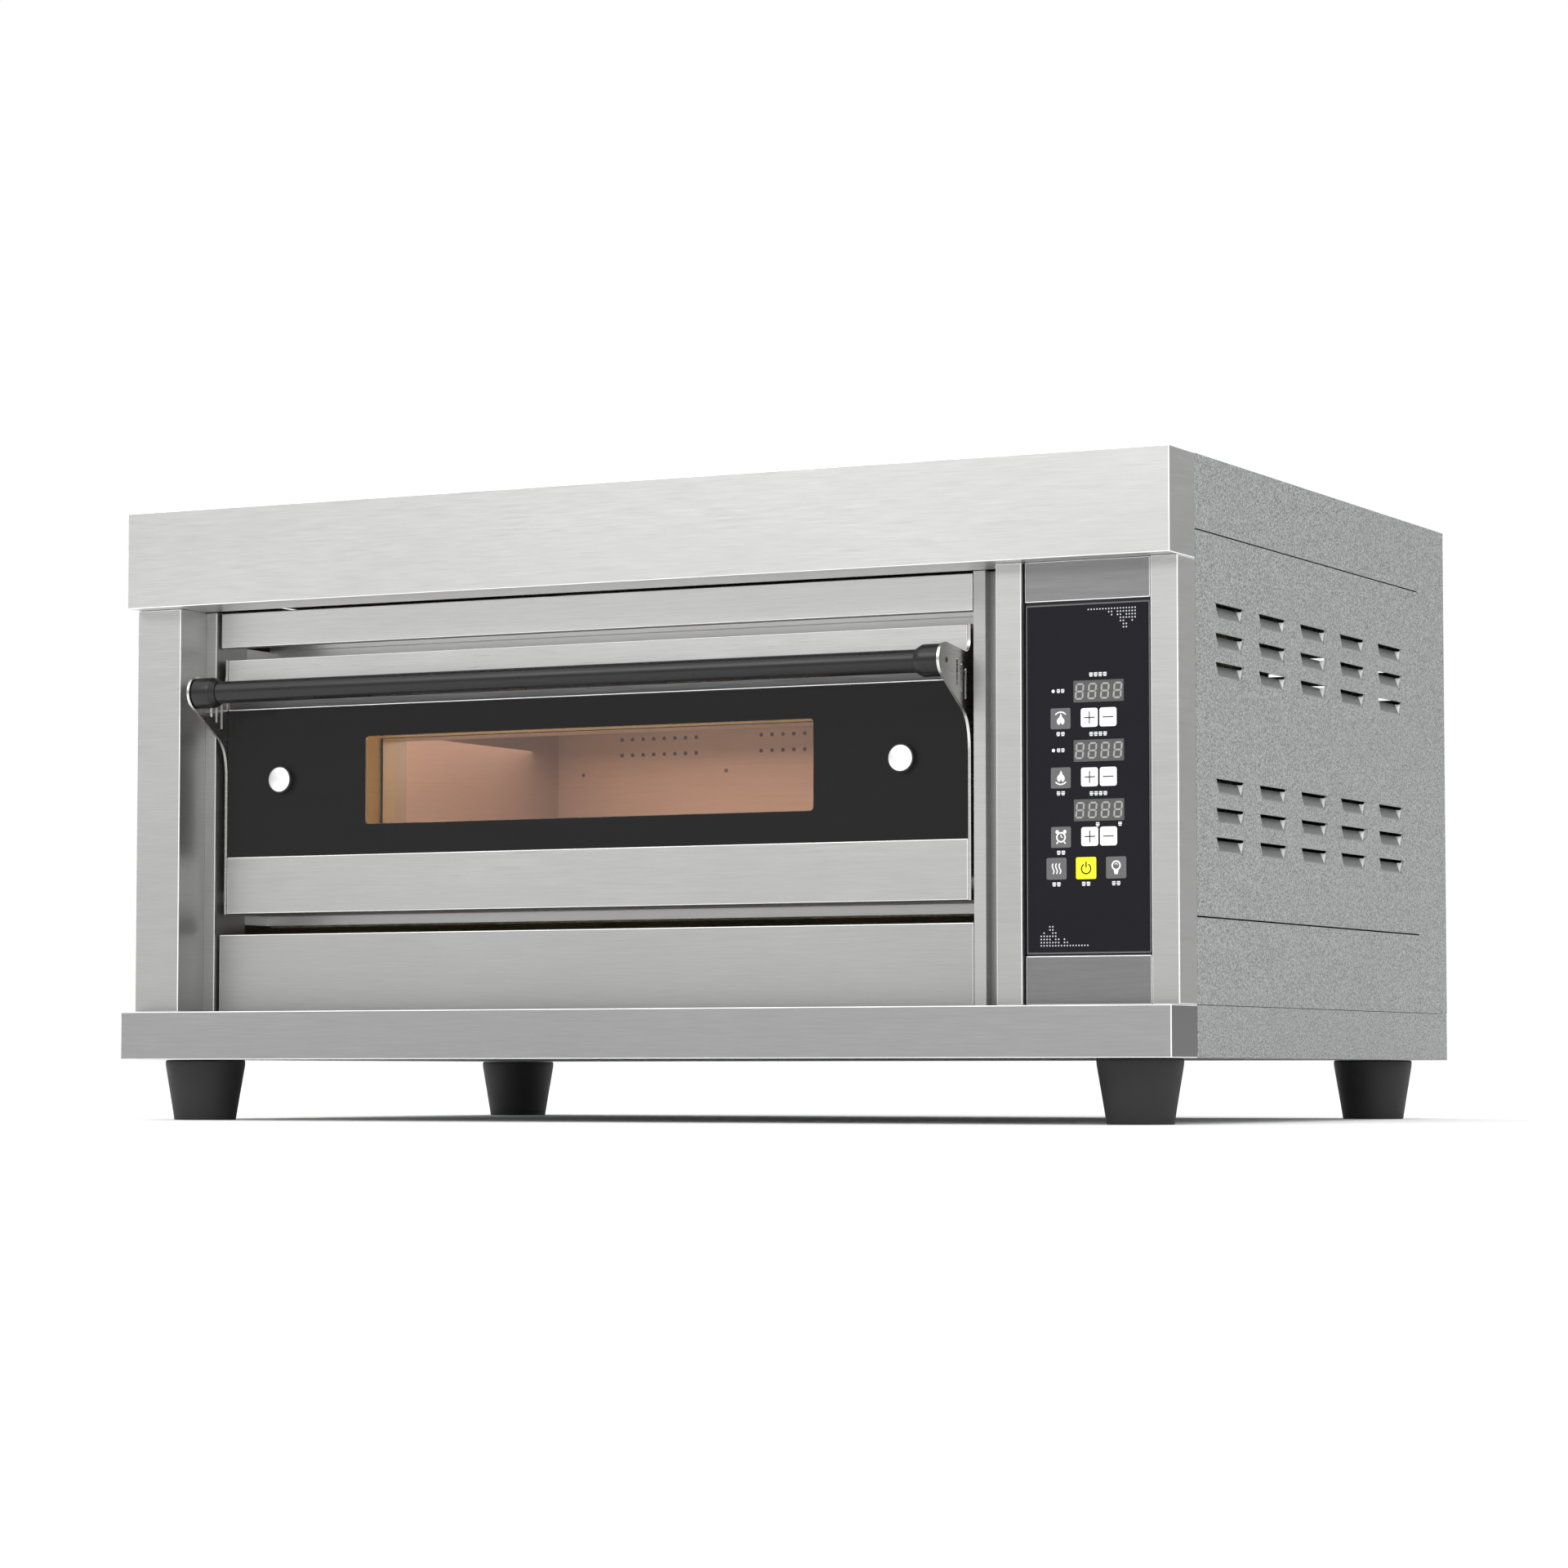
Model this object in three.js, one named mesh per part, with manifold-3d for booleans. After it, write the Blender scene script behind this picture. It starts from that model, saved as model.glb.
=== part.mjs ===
// Single-deck electric bakery oven with a drop-down door, in millimetres.
// X runs to the right seen from the front, Y runs from front to back, Z is up.
// The parts are laid out with Y = 0 at the front of the columns; the last lines move the
// whole oven so that its box is centred on X = Y = 0 and its feet stand on Z = 0.
import * as THREE from 'three';
import { mergeVertices } from 'three/addons/utils/BufferGeometryUtils.js';
import { ConvexGeometry } from 'three/addons/geometries/ConvexGeometry.js';
import Module from 'manifold-3d';

const wasm = await Module();
wasm.setup();

// Driving dimensions
const sheet = 2;                 // thickness of the sheet metal
const gap = 0.3;                 // clearance between neighbouring pieces
const halfWidth = 610;           // body, to each side
const plinthHalfWidth = 611;
const footHeight = 65;
const baseTop = 116.5;
const hoodBottom = 554.5;
const bodyTop = 659;

// Planes from front to back, with the front of the columns at 0
const plinthFront = -24.5;
const hoodFront = -20.5;
const plinthReturnEnd = 44;      // rear edge of the plinth's side returns
const bayFront = 4.5;            // control glass and its two cover plates
const returnEnd = 46.5;          // rear edge of the stainless side returns
const jambFront = 49.5;
const panelFront = 54.5;         // fixed panels above and below the door
const doorFront = 57.5;
const jambEnd = 109;
const doorBack = 146;
const frameFront = 154;          // face of the chamber's front frame
const chamberBack = 752;
const rearReturn = 708.5;        // front edge of the rear cover's side returns
const baseBack = 795;
const bodyBack = 799;

// Door opening and door
const openLeft = -540.5;
const openRight = 369.5;
const doorCentre = (openLeft + openRight) / 2;
const doorHalf = 448;
const plate = 3;                 // door side plates, which carry the handle
const doorBottom = 223.5;
const doorTop = 502;
const glassBottom = 286;
const glassTop = 445.5;
const hingeY = 82;
const hingeZ = 242;
const pinRadius = 10;
const handleZ = 461;
const handleRadius = 11.75;
const sleeveRadius = 16.5;
const windowBox = { x0: -353.5, x1: 185.5, z0: 318, z1: 412.5 };

// Baking chamber, inside its liner
const chamber = { x0: -509, x1: 339, z0: 216, z1: 469 };
const mouthBottom = 250;
const hearth = { z0: 236.5, z1: 248.5 };
const upperElementZ = 462;
const lowerElementZ = 224;
const firstRunY = 205;           // front run of each heating element
const lastRunY = 675;
const probe = { y: 440, upperZ: 425, lowerZ: 262 };
const lamp = { y: 245, z: 415 };

// Columns, and the control bay between the control strip and the right column
const leftColumnEdge = -554;
const rightColumnEdge = 581.2;
const strip = { x0: 416, x1: 443.8 };
const bay = { x0: 445.7, x1: 579.3, lowerPlateTop: 165, upperPlateBottom: 514 };
const touchGlass = { x0: 446.5, x1: 578.5, z0: 167, z1: 511, thickness: 4 };
const upperPanelBottom = 515;
const lowerPanelTop = 201;

// Colour, roughness and metalness of each finish
const finishes = {
  stainless: [0xc8c8c6, 0.34, 1.0],
  hammertone: [0x9da1a0, 0.55, 0.3],
  galvanised: [0x9a9c9c, 0.5, 0.9],
  liner: [0x9b8a80, 0.42, 0.9],
  blackGlass: [0x1d1d1f, 0.06, 0.0],
  clearGlass: [0xd9dcd8, 0.05, 0.0],
  blackPlastic: [0x1b1b1b, 0.45, 0.0],
  rubber: [0x171717, 0.8, 0.0],
  chrome: [0xf2f2f2, 0.08, 1.0],
  stone: [0xb9ab98, 0.9, 0.0],
  wool: [0xd8cfa8, 0.95, 0.0],
  element: [0x4b4644, 0.5, 0.8],
  circuit: [0x1f5a36, 0.6, 0.0],
  white: [0xe8e6df, 0.5, 0.0],
};

const oven = new THREE.Group();

function add(name, finish, geometry) {
  const [color, roughness, metalness] = finishes[finish];
  geometry.computeVertexNormals();
  const material = new THREE.MeshStandardMaterial({ color, roughness, metalness });
  const mesh = new THREE.Mesh(geometry, material);
  mesh.name = name;
  oven.add(mesh);
}

// Solids

function block(x0, x1, y0, y1, z0, z1) {
  const box = new THREE.BoxGeometry(Math.abs(x1 - x0), Math.abs(y1 - y0), Math.abs(z1 - z0));
  return box.translate((x0 + x1) / 2, (y0 + y1) / 2, (z0 + z1) / 2);
}

function toSolid(geometry) {
  const bare = geometry.clone();
  bare.deleteAttribute('normal');
  bare.deleteAttribute('uv');
  const merged = mergeVertices(bare, 1e-3);
  const vertProperties = new Float32Array(merged.attributes.position.array);
  const triVerts = new Uint32Array(merged.index.array);
  return new wasm.Manifold(new wasm.Mesh({ numProp: 3, vertProperties, triVerts }));
}

function toGeometry(solid) {
  const { vertProperties, triVerts } = solid.getMesh();
  const geometry = new THREE.BufferGeometry();
  geometry.setAttribute('position', new THREE.BufferAttribute(vertProperties, 3));
  geometry.setIndex(new THREE.BufferAttribute(triVerts, 1));
  return geometry;
}

function cut(geometry, ...tools) {
  return toGeometry(tools.reduce((body, tool) => body.subtract(toSolid(tool)), toSolid(geometry)));
}

function join(geometry, ...others) {
  return toGeometry(others.reduce((body, other) => body.add(toSolid(other)), toSolid(geometry)));
}

// A flat outline of [x, y] points, standing from z0 to z1
function upright(points, z0, z1) {
  const shape = new THREE.Shape(points.map(([x, y]) => new THREE.Vector2(x, y)));
  return new THREE.ExtrudeGeometry(shape, { depth: z1 - z0, bevelEnabled: false }).translate(0, 0, z0);
}

// A shape drawn as (Y, Z), lying across the oven from x0 to x1
function crosswise(shape, x0, x1, curveSegments) {
  const across = new THREE.Matrix4().makeBasis(
    new THREE.Vector3(0, 1, 0), new THREE.Vector3(0, 0, 1), new THREE.Vector3(1, 0, 0));
  const solid = new THREE.ExtrudeGeometry(shape, { depth: x1 - x0, bevelEnabled: false, curveSegments });
  return solid.applyMatrix4(across).translate(x0, 0, 0);
}

// A round bar along X, from x0 to x1
function barX(radius, x0, x1, y, z, sides = 24) {
  const bar = new THREE.CylinderGeometry(radius, radius, x1 - x0, sides).rotateZ(-Math.PI / 2);
  return bar.translate((x0 + x1) / 2, y, z);
}

// A round bar along Y, from y0 to y1
function barY(radius, y0, y1, x, z, sides = 24) {
  return new THREE.CylinderGeometry(radius, radius, y1 - y0, sides).translate(x, (y0 + y1) / 2, z);
}

// A turned piece about the local Y axis; its profile is a closed loop of [radius, height] points
function turned(profile, sides = 24) {
  const points = profile.map(([radius, height]) => new THREE.Vector2(radius, height));
  return new THREE.LatheGeometry(points, sides);
}

// A path through chosen stations, so that straight runs take no extra steps
class StationPath extends THREE.Curve {
  constructor(stations) {
    super();
    this.stations = stations;
  }

  getPoint(t, target = new THREE.Vector3()) {
    const place = Math.min(t, 1) * (this.stations.length - 1);
    const index = Math.min(Math.floor(place + 1e-6), this.stations.length - 2);
    return target.lerpVectors(this.stations[index], this.stations[index + 1], place - index);
  }

  getPointAt(u, target) {
    return this.getPoint(u, target);
  }

  getTangentAt(u, target = new THREE.Vector3()) {
    const last = this.stations.length - 1;
    const index = Math.round(u * last);
    const ahead = this.stations[Math.min(index + 1, last)];
    const behind = this.stations[Math.max(index - 1, 0)];
    return target.subVectors(ahead, behind).normalize();
  }
}

function rodAlong(stations, radius, sides = 8) {
  const section = new THREE.Shape();
  for (let side = 0; side < sides; side += 1) {
    const angle = (side / sides) * 2 * Math.PI;
    const corner = [radius * Math.cos(angle), radius * Math.sin(angle)];
    if (side === 0) section.moveTo(...corner);
    else section.lineTo(...corner);
  }
  section.closePath();
  const path = new StationPath(stations);
  return new THREE.ExtrudeGeometry(section, { steps: stations.length - 1, extrudePath: path });
}

// Outer casing

function hoodFascia() {
  const outside = block(-halfWidth, halfWidth, hoodFront, returnEnd, hoodBottom, bodyTop);
  const inside = block(-halfWidth + sheet, halfWidth - sheet, hoodFront + sheet, returnEnd + 1,
    hoodBottom + sheet, bodyTop - sheet);
  return cut(outside, inside);
}

const coverFront = returnEnd + gap;
const coverBack = rearReturn - gap;
const panelSeam = 1.4;           // open seam above and below the louvred side panels
const sidePanelTop = 583.1;
const topCoverBottom = sidePanelTop + panelSeam;
const sidePanelBottom = 203.9;

function topCover() {
  const outside = block(-halfWidth, halfWidth, coverFront, coverBack, topCoverBottom, bodyTop);
  const inside = block(-halfWidth + sheet, halfWidth - sheet, coverFront - 1, coverBack + 1,
    topCoverBottom - 1, bodyTop - sheet);
  return cut(outside, inside);
}

const flue = { x: 250, z: 432, radius: 19, length: 51 };
const gland = { x: 470, z: 165, radius: 12 };
const rearVent = { x: 400, pitchX: 90, width: 70, z: 440, pitchZ: 16, height: 3.5, columns: 2, rows: 6 };

function rearCover() {
  const outside = block(-halfWidth, halfWidth, rearReturn, bodyBack, baseTop + gap, bodyTop);
  const inside = block(-halfWidth + sheet, halfWidth - sheet, rearReturn - 1, bodyBack - sheet,
    baseTop - 1, bodyTop - sheet);
  const vents = [];
  for (let column = 0; column < rearVent.columns; column += 1) {
    for (let row = 0; row < rearVent.rows; row += 1) {
      const x = rearVent.x + column * rearVent.pitchX;
      const z = rearVent.z + row * rearVent.pitchZ;
      vents.push(block(x, x + rearVent.width, bodyBack - 5, bodyBack + 5, z, z + rearVent.height));
    }
  }
  const flueHole = barY(flue.radius + 1, bodyBack - 5, bodyBack + 5, flue.x, flue.z);
  const glandHole = barY(gland.radius + 0.5, bodyBack - 5, bodyBack + 5, gland.x, gland.z, 12);
  return cut(outside, inside, flueHole, glandHole, ...vents);
}

// Louvres pressed inwards, each open along its upper edge
const louvre = { first: 99, pitch: 119.5, columns: 5, length: 79, height: 16, depth: 8, inset: 9 };
const louvreTops = [515.5, 486, 457, 341, 312, 283];

// The wedge behind one louvre: skin makes it that much larger all round, lip lowers its upper edge
function louvreWedge(side, y, top, skin, lip) {
  const face = side * (halfWidth + 0.5 - skin);
  const root = side * (halfWidth - 0.2 - skin);
  const deep = side * (halfWidth - louvre.depth - skin);
  const bottom = top - louvre.height - skin;
  const upper = top - lip;
  const taper = 4;
  const points = [
    [face, y + louvre.inset - skin, bottom], [face, y + louvre.length - louvre.inset + skin, bottom],
    [root, y + louvre.inset - skin, bottom], [root, y + louvre.length - louvre.inset + skin, bottom],
    [face, y - skin, upper], [face, y + louvre.length + skin, upper],
    [deep, y + taper - skin, upper], [deep, y + louvre.length - taper + skin, upper],
  ];
  return new ConvexGeometry(points.map((point) => new THREE.Vector3(...point)));
}

function sidePanel(side) {
  const panel = block(side * (halfWidth - sheet), side * halfWidth, coverFront, coverBack,
    sidePanelBottom, sidePanelTop);
  const backs = [];
  const pockets = [];
  for (let column = 0; column < louvre.columns; column += 1) {
    for (const top of louvreTops) {
      const y = louvre.first + column * louvre.pitch;
      backs.push(louvreWedge(side, y, top, 1.5, 2.5));
      pockets.push(louvreWedge(side, y, top, 0, 0));
    }
  }
  return cut(join(panel, ...backs), ...pockets);
}

function lowerSidePanel(side) {
  return block(side * (halfWidth - sheet), side * halfWidth, coverFront, coverBack,
    baseTop + gap, sidePanelBottom - panelSeam);
}

function basePlinth() {
  const outside = block(-plinthHalfWidth, plinthHalfWidth, plinthFront, plinthReturnEnd,
    footHeight, baseTop);
  const inside = block(-plinthHalfWidth + sheet, plinthHalfWidth - sheet, plinthFront + sheet,
    plinthReturnEnd + 1, footHeight + sheet, baseTop - sheet);
  return cut(outside, inside);
}

function baseTray() {
  const outside = block(-plinthHalfWidth, plinthHalfWidth, plinthReturnEnd + gap, baseBack,
    footHeight, baseTop);
  const inside = block(-plinthHalfWidth + sheet, plinthHalfWidth - sheet, plinthReturnEnd,
    baseBack - sheet, footHeight + sheet, baseTop + 1);
  return cut(outside, inside);
}

const footPlace = { x: 549, frontY: 47, rearY: 722 };

function foot(x, y) {
  const top = footHeight - gap;
  const profile = [[0, 0], [31, 0], [33.3, 2.5], [43, 60], [43, top], [0, top]];
  return turned(profile, 32).rotateX(Math.PI / 2).translate(x, y, 0);
}

// Front columns and door jambs

const columnBottom = baseTop + gap;
const columnTop = hoodBottom - gap;

// An upright channel, open at the back
function channel(x0, x1, depth) {
  const outside = block(x0, x1, 0, depth, columnBottom, columnTop);
  return cut(outside, block(x0 + sheet, x1 - sheet, sheet, depth + 1, columnBottom - 1, columnTop + 1));
}

function leftColumn() {
  const wholeChannel = channel(-halfWidth, leftColumnEdge, jambFront - gap);
  const panelEdge = block(-halfWidth - 1, -halfWidth + sheet + 0.1, returnEnd, jambFront,
    columnBottom - 1, columnTop + 1);
  return cut(wholeChannel, panelEdge);
}

function hingeHole(x) {
  return barX(pinRadius + 0.6, x - 20, x + 20, hingeY, hingeZ);
}

function leftJamb() {
  const outer = -580;
  const outline = [[outer, jambFront], [openLeft, jambFront], [openLeft, jambEnd],
    [openLeft - sheet, jambEnd], [openLeft - sheet, jambFront + sheet], [outer, jambFront + sheet]];
  return cut(upright(outline, columnBottom, columnTop), hingeHole(openLeft));
}

// The right jamb steps back beside its face to form an upright groove
function rightJamb() {
  const faceEnd = 382.6;
  const grooveY = 62;
  const grooveEnd = 430;
  const outline = [[openRight, jambEnd], [openRight, jambFront], [faceEnd, jambFront],
    [faceEnd, grooveY], [grooveEnd, grooveY], [grooveEnd, grooveY + sheet],
    [faceEnd - sheet, grooveY + sheet], [faceEnd - sheet, jambFront + sheet],
    [openRight + sheet, jambFront + sheet], [openRight + sheet, jambEnd]];
  return cut(upright(outline, columnBottom, columnTop), hingeHole(openRight));
}

// A front panel folded back along all four edges
function foldedPanel(x0, x1, front, depth, z0, z1) {
  const outside = block(x0, x1, front, front + depth, z0, z1);
  const inside = block(x0 + sheet, x1 - sheet, front + sheet, front + depth + 1,
    z0 + sheet, z1 - sheet);
  return cut(outside, inside);
}

// A fixed front panel above or below the door
function fixedPanel(z0, z1) {
  return foldedPanel(openLeft + 3, openRight - 3, panelFront, 15, z0, z1);
}

// Baking chamber

// A shallow tray round the chamber's mouth, with a separate strip above its upper seam
function chamberFrontFrame() {
  const bottom = 213.5;
  const seam = 519;
  const strapBottom = 505;
  const outline = [[openLeft - sheet, jambEnd + gap], [openLeft, jambEnd + gap], [openLeft, frameFront],
    [openRight, frameFront], [openRight, jambEnd + gap], [openRight + sheet, jambEnd + gap],
    [openRight + sheet, frameFront + sheet], [openLeft - sheet, frameFront + sheet]];
  const tray = upright(outline, bottom, seam);
  const mouth = block(chamber.x0, chamber.x1, frameFront - 1, frameFront + 5, mouthBottom, chamber.z1);
  const upper = block(openLeft, openRight, frameFront, frameFront + sheet, seam + 1, columnTop);
  const strap = block(openLeft, openRight, frameFront + sheet - 0.5, frameFront + sheet + 1.5,
    strapBottom, columnTop);
  return join(cut(tray, mouth), upper, strap);
}

const linerFront = frameFront + 4;

// Holes for the flue, the element ends, the probes and the lamp
function linerPassages() {
  const wallX0 = chamber.x1 - 9;
  const wallX1 = chamber.x1 + 6;
  const passages = [barY(flue.radius + 1, chamberBack - 5, chamberBack + 5, flue.x, flue.z)];
  for (const y of [firstRunY, lastRunY]) {
    for (const z of [upperElementZ, lowerElementZ]) passages.push(barX(5, wallX0, wallX1, y, z, 12));
  }
  for (const z of [probe.upperZ, probe.lowerZ]) passages.push(barX(3.4, wallX0, wallX1, probe.y, z, 10));
  passages.push(barX(15, chamber.x0 - 6, chamber.x0 + 4, lamp.y, lamp.z, 20));
  return passages;
}

function chamberLiner() {
  const outside = block(chamber.x0 - sheet, chamber.x1 + sheet, linerFront, chamberBack + sheet,
    chamber.z0 - sheet, chamber.z1 + sheet);
  const inside = block(chamber.x0, chamber.x1, linerFront - 1, chamberBack, chamber.z0, chamber.z1);
  const shell = cut(outside, inside, ...linerPassages());
  const rail = (x0, x1) => block(x0, x1, linerFront + 3, chamberBack + 1,
    hearth.z0 - 3, hearth.z0 - gap);
  return join(shell, rail(chamber.x0 - 1, chamber.x0 + 14), rail(chamber.x1 - 14, chamber.x1 + 1));
}

function hearthStone() {
  return block(chamber.x0 + 3, chamber.x1 - 3, linerFront + 2, chamberBack - 4, hearth.z0, hearth.z1);
}

// Mineral wool around the liner, open at the front and set back below the mouth
function insulation() {
  const right = 366;
  const bottom = 150;
  const top = 553;
  const back = 794;
  const setBack = 300;
  const liner = { x0: chamber.x0 - sheet - gap, x1: chamber.x1 + sheet + gap,
    z0: chamber.z0 - sheet - gap, z1: chamber.z1 + sheet + gap };
  const outside = block(openLeft, right, linerFront + 2, back, bottom, top);
  const inside = block(liner.x0, liner.x1, linerFront, chamberBack + sheet + gap, liner.z0, liner.z1);
  const lowerFront = block(openLeft - 1, right + 1, linerFront, setBack, bottom - 1, liner.z0 - 2);
  const wiringSlot = (y0, y1, z0, z1) => block(chamber.x1 + sheet, right + 4, y0, y1, z0, z1);
  const slots = [
    wiringSlot(firstRunY - 15, lastRunY + 15, upperElementZ - 10, upperElementZ + 10),
    wiringSlot(firstRunY - 15, lastRunY + 15, lowerElementZ - 8, lowerElementZ + 8),
    wiringSlot(probe.y - 8, probe.y + 8, probe.lowerZ - 8, probe.upperZ + 8),
  ];
  const lampHole = barX(19, openLeft - 4, chamber.x0 + 4, lamp.y, lamp.z, 20);
  const flueHole = barY(flue.radius + 1.5, chamberBack, back + 6, flue.x, flue.z);
  return cut(outside, inside, lowerFront, ...slots, lampHole, flueHole);
}

// A tubular element that runs across the chamber six times; both ends leave through the right wall
function heatingElement(z) {
  const rows = 6;
  const pitch = (lastRunY - firstRunY) / (rows - 1);
  const bend = pitch / 2;
  const near = 275;
  const far = -450;
  const terminalX = 374;
  const stations = [new THREE.Vector3(terminalX, firstRunY, z)];
  for (let row = 0; row < rows - 1; row += 1) {
    const leftwards = row % 2 === 0;
    const x = leftwards ? far : near;
    const centre = firstRunY + row * pitch + bend;
    for (let step = 0; step <= 4; step += 1) {
      const angle = (step / 4) * Math.PI;
      const reach = bend * Math.sin(angle) * (leftwards ? -1 : 1);
      stations.push(new THREE.Vector3(x + reach, centre - bend * Math.cos(angle), z));
    }
  }
  stations.push(new THREE.Vector3(terminalX, lastRunY, z));
  return rodAlong(stations, 4);
}

// A thin probe with a thicker head outside the liner
function thermocouple(z) {
  const headX = 380;
  const stem = barX(2.6, headX - 80, headX, probe.y, z, 10);
  return join(stem, barX(6, headX - 0.5, headX + 12, probe.y, z, 12));
}

// Lamp on the left wall: a bulb in its holder, behind a domed glass cover
function chamberLamp() {
  const holder = barX(12, chamber.x0 - 26, chamber.x0 - 7, lamp.y, lamp.z, 20);
  return join(holder, barX(7, chamber.x0 - 7.5, chamber.x0 + 4, lamp.y, lamp.z, 16));
}

function lampCover() {
  const profile = [[14.6, 0], [14.6, 8], [18, 8], [18, 11], [14, 18], [0, 21], [0, 19],
    [12.6, 16], [12.6, 0], [14.6, 0]];
  return turned(profile, 20).rotateZ(-Math.PI / 2).translate(chamber.x0 - 6, lamp.y, lamp.z);
}

function steamFlue() {
  const bore = flue.radius - sheet;
  const profile = [[bore, 0], [flue.radius, 0], [flue.radius, flue.length], [bore, flue.length], [bore, 0]];
  return turned(profile).translate(flue.x, bodyBack - flue.length, flue.z);
}

// Control bay

function coverPlate(z0, z1) {
  return block(bay.x0, bay.x1, bayFront, bayFront + sheet, z0, z1);
}

function controlGlass() {
  return block(touchGlass.x0, touchGlass.x1, bayFront, bayFront + touchGlass.thickness,
    touchGlass.z0, touchGlass.z1);
}

function controlTray() {
  const front = bayFront + touchGlass.thickness + gap;
  return foldedPanel(bay.x0 - 0.7, bay.x1 + 0.7, front, 30, columnBottom + gap, hoodBottom - 1.5);
}

// The board with its three display modules, transformer and relay
function controlBoard() {
  const front = 15;
  const partFront = front + sheet - 0.5;
  const displays = [290, 348, 405].map((z) => block(495, 555, partFront, 26, z, z + 33));
  const transformer = block(470, 510, partFront, 34, 205, 245);
  const relay = block(525, 560, partFront, 30, 205, 235);
  return join(block(458, 568, front, front + sheet, 195, 470), ...displays, transformer, relay);
}

// The contactor's body with its raised terminal block and its rail clip
function contactor() {
  const body = block(455, 510, 640, 700, 260, 330);
  const terminals = block(462, 503, 620, 640.5, 275, 315);
  const clip = block(462, 503, 699.5, 712, 270, 280);
  return join(body, terminals, clip);
}

function terminalBlock() {
  const left = 430;
  const ways = 5;
  const pitch = 17;
  const slots = [];
  for (let way = 0; way < ways; way += 1) {
    const x = left + 3 + way * pitch;
    slots.push(block(x, x + 13, 725, 741, 196, 217));
  }
  return cut(block(left, left + 90, 730, 750, 190, 216), ...slots);
}

function cableGland() {
  const bore = 8;
  const nut = 17;
  const profile = [[bore, 0], [gland.radius, 0], [gland.radius, 14], [nut, 14], [nut, 22],
    [nut - 2, 24], [bore, 24], [bore, 0]];
  return turned(profile, 12).rotateX(Math.PI).translate(gland.x, bodyBack - gap, gland.z);
}

// Door hinge

function hingeBearing(side) {
  const wall = side < 0 ? openLeft - sheet - gap : openRight + sheet + gap;
  const width = 22;
  const body = block(wall, wall + side * width, hingeY - 16, hingeY + 22, hingeZ - 22, hingeZ + 22);
  return cut(body, hingeHole(wall + side * width / 2));
}

function hingePin(side) {
  const length = 62;
  const inner = doorCentre + side * (doorHalf + gap);
  const outer = inner + side * length;
  return barX(pinRadius, Math.min(inner, outer), Math.max(inner, outer), hingeY, hingeZ);
}

// A torsion spring wound round the pin, with one leg up and one leg down
function doorSpring(side) {
  const coil = { radius: 15.5, wire: 2, turns: 4, pitch: 5.5, steps: 12, leg: 45 };
  const start = doorCentre + side * (doorHalf + 36);
  const stations = [new THREE.Vector3(start, hingeY + coil.radius, hingeZ - coil.leg)];
  for (let step = 0; step <= coil.turns * coil.steps; step += 1) {
    const angle = (step / coil.steps) * 2 * Math.PI;
    const x = start + side * (step / coil.steps) * coil.pitch;
    const y = hingeY + coil.radius * Math.cos(angle);
    stations.push(new THREE.Vector3(x, y, hingeZ + coil.radius * Math.sin(angle)));
  }
  const end = stations[stations.length - 1];
  stations.push(new THREE.Vector3(end.x, end.y, hingeZ + coil.leg));
  return rodAlong(stations, coil.wire, 6);
}

// Door

const doorLeft = doorCentre - doorHalf;
const doorRight = doorCentre + doorHalf;
const skinLeft = doorLeft + plate + gap;
const skinRight = doorRight - plate - gap;

// A side plate of the door, with the slotted ear that holds the handle
function sidePlate(x0, x1) {
  const nose = 18;
  const slope = 0.62;
  const lean = Math.atan(slope);
  const tangent = [-nose * Math.sin(lean), handleZ - nose * Math.cos(lean)];
  const lowLine = (y) => tangent[1] - slope * (y - tangent[0]);
  const curveStart = 372;
  const curveEndY = 42;
  const neckY = 43;
  const ear = new THREE.Shape();
  ear.moveTo(doorBack, doorBottom);
  ear.lineTo(doorFront, doorBottom);
  ear.lineTo(doorFront, curveStart);
  ear.quadraticCurveTo(doorFront, lowLine(doorFront), curveEndY, lowLine(curveEndY));
  ear.lineTo(...tangent);
  ear.absarc(0, handleZ, nose, -Math.PI / 2 - lean, Math.PI / 2, true);
  ear.lineTo(neckY, handleZ + 12.5);
  ear.quadraticCurveTo(doorFront, handleZ + 10.5, doorFront, handleZ + 26);
  ear.lineTo(doorFront, doorTop);
  ear.lineTo(doorBack, doorTop);
  ear.closePath();
  const slots = [[25.5, 437, 465], [35.5, 431.5, 460.5], [45.5, 425, 456]];
  const slotRadius = 2;
  for (const [y, z0, z1] of slots) {
    const slot = new THREE.Path();
    slot.absarc(y, z0 + slotRadius, slotRadius, Math.PI, 0, false);
    slot.absarc(y, z1 - slotRadius, slotRadius, 0, Math.PI, false);
    slot.closePath();
    ear.holes.push(slot);
  }
  const screwHole = new THREE.Path();
  screwHole.absarc(0, handleZ, 3.2, 0, 2 * Math.PI, false);
  ear.holes.push(screwHole);
  return crosswise(ear, x0, x1, 6);
}

const glassBack = doorFront + 4.5;
const innerGlass = { y0: 92, y1: 96, overlap: 12 };

function doorGlass() {
  return block(skinLeft, skinRight, doorFront, glassBack, glassBottom, glassTop);
}

function doorInnerGlass() {
  const { y0, y1, overlap } = innerGlass;
  return block(windowBox.x0 - overlap, windowBox.x1 + overlap, y0, y1,
    windowBox.z0 - overlap, windowBox.z1 + overlap);
}

// A rectangular sleeve round the window
function windowTunnel(y0, y1) {
  const { x0, x1, z0, z1 } = windowBox;
  const outside = block(x0 - sheet, x1 + sheet, y0, y1, z0 - sheet, z1 + sheet);
  return cut(outside, block(x0, x1, y0 - 1, y1 + 1, z0, z1));
}

const stripDepth = 15;

// A folded stainless strip above or below the glass
function doorStrip(z0, z1) {
  return foldedPanel(skinLeft, skinRight, doorFront, stripDepth, z0, z1);
}

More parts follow.
